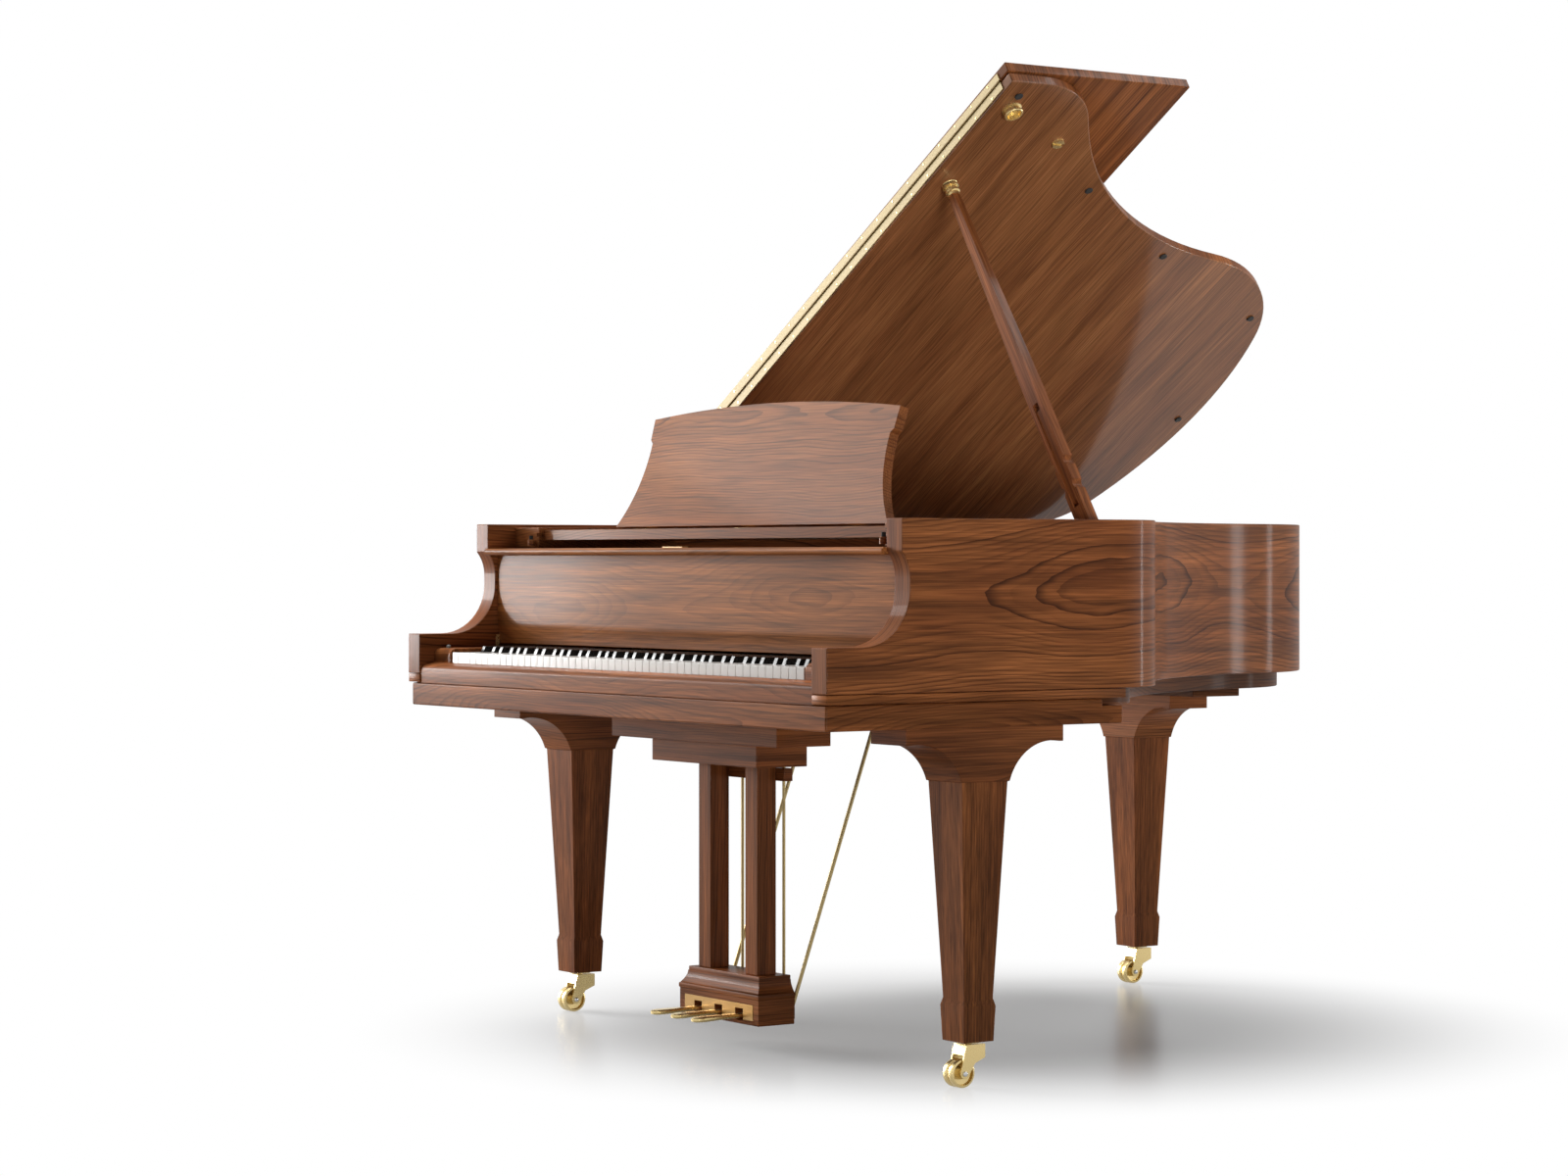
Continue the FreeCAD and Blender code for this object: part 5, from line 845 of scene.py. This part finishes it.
# Casters: a cast brass fork that trails behind its swivel, and two grooved and dished wheels on one axle.
# The wheels are turned from brass; the steel axle is riveted over into domes outside the fork's cheeks.
WHEEL_RADIUS, CASTER_TRAIL = 25.0, 20.0
WHEEL = [(4.4, 1.2), (22.6, 1.2), (24.6, 2.4), (25, 3.6), (25, 11.8), (24.4, 13.4), (23, 14.2), (20.8, 14.2),
         (19.2, 8), (10.5, 6.5), (9, 13.8), (4.4, 13.8)]
HUB = [(4.4, -2), (18, -2), (18, 2), (4.4, 2)]
DOME = [(0, 18), (4.8, 18), (4.8, 19.6), (4.1, 21.4), (2.4, 22.5), (0, 22.9)]
# Polished steel: cold grey with a clear reflection.
steel = plain("polished_steel", "#c9c9c8", "#bababa", 0.18, grain_mm=2.0, metallic=1.0, depth_mm=0.01)
for side, x, y in LEG_PLACES:
    eased(side + "_caster_fork", 0.8, brass)
    axle = at(x, y - CASTER_TRAIL, WHEEL_RADIUS)
    wheels, domes = bmesh.new(), bmesh.new()
    for axis in (RIGHT, -RIGHT):
        turned(wheels, WHEEL, axle, axis, 40, True)
        turned(domes, DOME, axle, axis, 24)
    turned(wheels, HUB, axle, RIGHT, 40, True)
    rollers = put(side + "_wheels_turned", wheels, side + "_caster_wheels", brass)
    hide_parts(side + "_caster_wheels")
    put(side + "_axle_domes", domes, side + "_caster_fork", steel)

# Pedal lyre: stepped blocks, two square posts and a moulded box, screwed up under the key bed.
# Walnut like the case, with level grain in the blocks and the box and upright grain in the posts.
# The box has a hollow moulding on top, and a thin brass plate round its three pedal slots, which also stands
# for the gold light that the pedals throw onto the box front.

# The case's walnut in small boards: close level lines.
lyre_veneer = timber("walnut_on_lyre_blocks_and_box", (1, 1, 0), (0, 0, 1), 0.33, depth=0.03, pitch=0.0045,
                     sway=0.04, lines=0.5)
eased("lyre_blocks", 1.2, lyre_veneer)
eased("lyre_posts", 1.5, leg_grain)
BOX_HALF, BOX_FRONT, BOX_BACK, FRONT_SHARE = 136.0, 261.0, 344.0, 0.76
FACE_INSET = 2
HOLLOW_LOW, HOLLOW_RISE, HOLLOW_INSET, HOLLOW_DEPTH, HOLLOW_STEPS = 113.5, 23.5, 2.6, 12.4, 9
# Each step of the box: its height, and how far it stands in from the widest one.
BOX_STEPS = [(55, 4.5), (56, 3.5), (64.5, 3.5), (65, FACE_INSET), (103.5, FACE_INSET), (104.5, 0.6), (106, 0),
             (111, 0), (112.6, 0.7), (113.4, HOLLOW_INSET)]
for k in range(1, HOLLOW_STEPS + 1):
    bow = math.sin(math.pi / 2 * k / HOLLOW_STEPS)
    BOX_STEPS.append((HOLLOW_LOW + HOLLOW_RISE * k / HOLLOW_STEPS, HOLLOW_INSET + HOLLOW_DEPTH * bow))
BOX_STEPS += [(137.4, 16.4), (144, 16.4), (145, 17.4)]
shell, cutter = bmesh.new(), bmesh.new()
rows = []
for z, inset in BOX_STEPS:
    half, front = BOX_HALF - inset, BOX_FRONT + inset * FRONT_SHARE
    outline = (-half, front), (half, front), (half, BOX_BACK), (-half, BOX_BACK)
    rows.append([shell.verts.new(at(x, y, z)) for x, y in outline])
skin(shell, rows)
PEDAL_PLACES = ("left", -70), ("middle", 0), ("right", 70)
SLOT_HALF, SLOT_LOW, SLOT_TOP = 13.0, 61.0, 84.0
BEFORE_BOX, BEHIND_BOX = 200, 400
for side, x in PEDAL_PLACES:
    block(cutter, at(x - SLOT_HALF, BEFORE_BOX, SLOT_LOW), at(x + SLOT_HALF, BEHIND_BOX, SLOT_TOP))
bodies = []
for name, mesh in (("box_shell", shell), ("box_slots", cutter)):
    bmesh.ops.recalc_face_normals(mesh, faces=mesh.faces)
    bodies.append(bpy.data.objects.new(name, bpy.data.meshes.new(name)))
    mesh.to_mesh(bodies[-1].data)
    bpy.context.scene.collection.objects.link(bodies[-1])
slots = bodies[0].modifiers.new("slots", "BOOLEAN")
slots.object = bodies[1]
cut = bpy.data.meshes.new_from_object(bodies[0].evaluated_get(bpy.context.evaluated_depsgraph_get()))
for item in bodies:
    bpy.data.objects.remove(item)
pedal_box = put("pedal_box_moulded", cut, "case", lyre_veneer)
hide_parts("pedal_box")
# The plate round the slots is partly real brass and partly painted light: the pedals' gold glow on the box
# front.
BRASS_HALF, BRASS_LOW, BRASS_TOP = 116.0, 64.0, 93.0
BRASS_PROUD, BRASS_SUNK = 0.6, 0.1
BOX_FACE = BOX_FRONT + FACE_INSET * FRONT_SHARE
BRASS_FACE, BRASS_BACK = BOX_FACE - BRASS_PROUD, BOX_FACE + BRASS_SUNK
ends = [-BRASS_HALF]
for side, x in PEDAL_PLACES:
    ends += [x - SLOT_HALF, x + SLOT_HALF]
ends.append(BRASS_HALF)
slot_plate = bmesh.new()
block(slot_plate, at(-BRASS_HALF, BRASS_FACE, SLOT_TOP), at(BRASS_HALF, BRASS_BACK, BRASS_TOP))
for left, right in zip(ends[::2], ends[1::2]):
    block(slot_plate, at(left, BRASS_FACE, BRASS_LOW), at(right, BRASS_BACK, SLOT_TOP))
# Brushed brass, a deeper gold than the polished pieces: the plate paints the gold light that the pedals throw
# onto the box front in their shade.
slot_brass_and_painted_glow = plain("brushed_brass_plate_painting_pedal_glow", "#b08a52", "#9d7842", 0.3, grain_mm=2.0, metallic=0.8,
                   depth_mm=0.002)
put("pedal_slot_plate_and_painted_glow", slot_plate, "case", slot_brass_and_painted_glow)

# Pedals, rods and braces: cast brass pedals with a drooping round toe, drawn rods and two slanting stays.
# Each rod stands on its pedal's tail and is held by a collar behind the crossbar.

# Drawn brass: the same metal straight from the die, paler and duller.
drawn_brass = plain("drawn_brass_rod", "#d6c088", "#ccb478", 0.5, grain_mm=3.0, metallic=0.4, depth_mm=0.002)
# Each step of a pedal from tail to toe: its place, half width, thickness and height.
PEDAL_STEPS = ((376, 7, 8, 70), (300, 7, 8, 70), (258, 6.8, 8, 70), (236, 7.6, 8.2, 69.8),
               (214, 10, 8.8, 69.4), (196, 12.6, 9.6, 69), (181, 13.6, 10, 68.8), (170, 12.8, 9.6, 68.6),
               (163, 9.8, 8.4, 68.4), (159.6, 5.4, 5.6, 68.4))
# A pedal's section is a flattened round: a power below 1 pushes its corners out.
PEDAL_SIDES, FLAT_ACROSS, FLAT_UP = 20, 0.5, 0.6
ROD_BACK, COLLARS = 363, ((75, 6), (534, 12))
for side, x in PEDAL_PLACES:
    pedal, collars = bmesh.new(), bmesh.new()
    rows = []
    for y, half, thick, z in PEDAL_STEPS:
        row = []
        for k in range(PEDAL_SIDES):
            angle = 2 * math.pi * k / PEDAL_SIDES
            c, s = math.cos(angle), math.sin(angle)
            across = math.copysign(abs(c) ** FLAT_ACROSS, c) * half
            up = math.copysign(abs(s) ** FLAT_UP, s) * thick / 2
            row.append(pedal.verts.new(at(x + across, y, z + up)))
        rows.append(row)
    skin(pedal, rows)
    lever = put(side + "_pedal_cast", pedal, side + "_pedal", brass)
    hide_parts(side + "_pedal")
    eased(side + "_pedal_rod", 0.3, drawn_brass)
    for z, height in COLLARS:
        profile = [(3, 0), (5.4, 0), (6, 0.8), (6, height - 0.8), (5.4, height), (3, height)]
        turned(collars, profile, at(x, ROD_BACK, z), UP, 24, True)
    put(side + "_rod_collars", collars, side + "_pedal_rod", brass)
eased("lyre_braces", 0.3, drawn_brass)
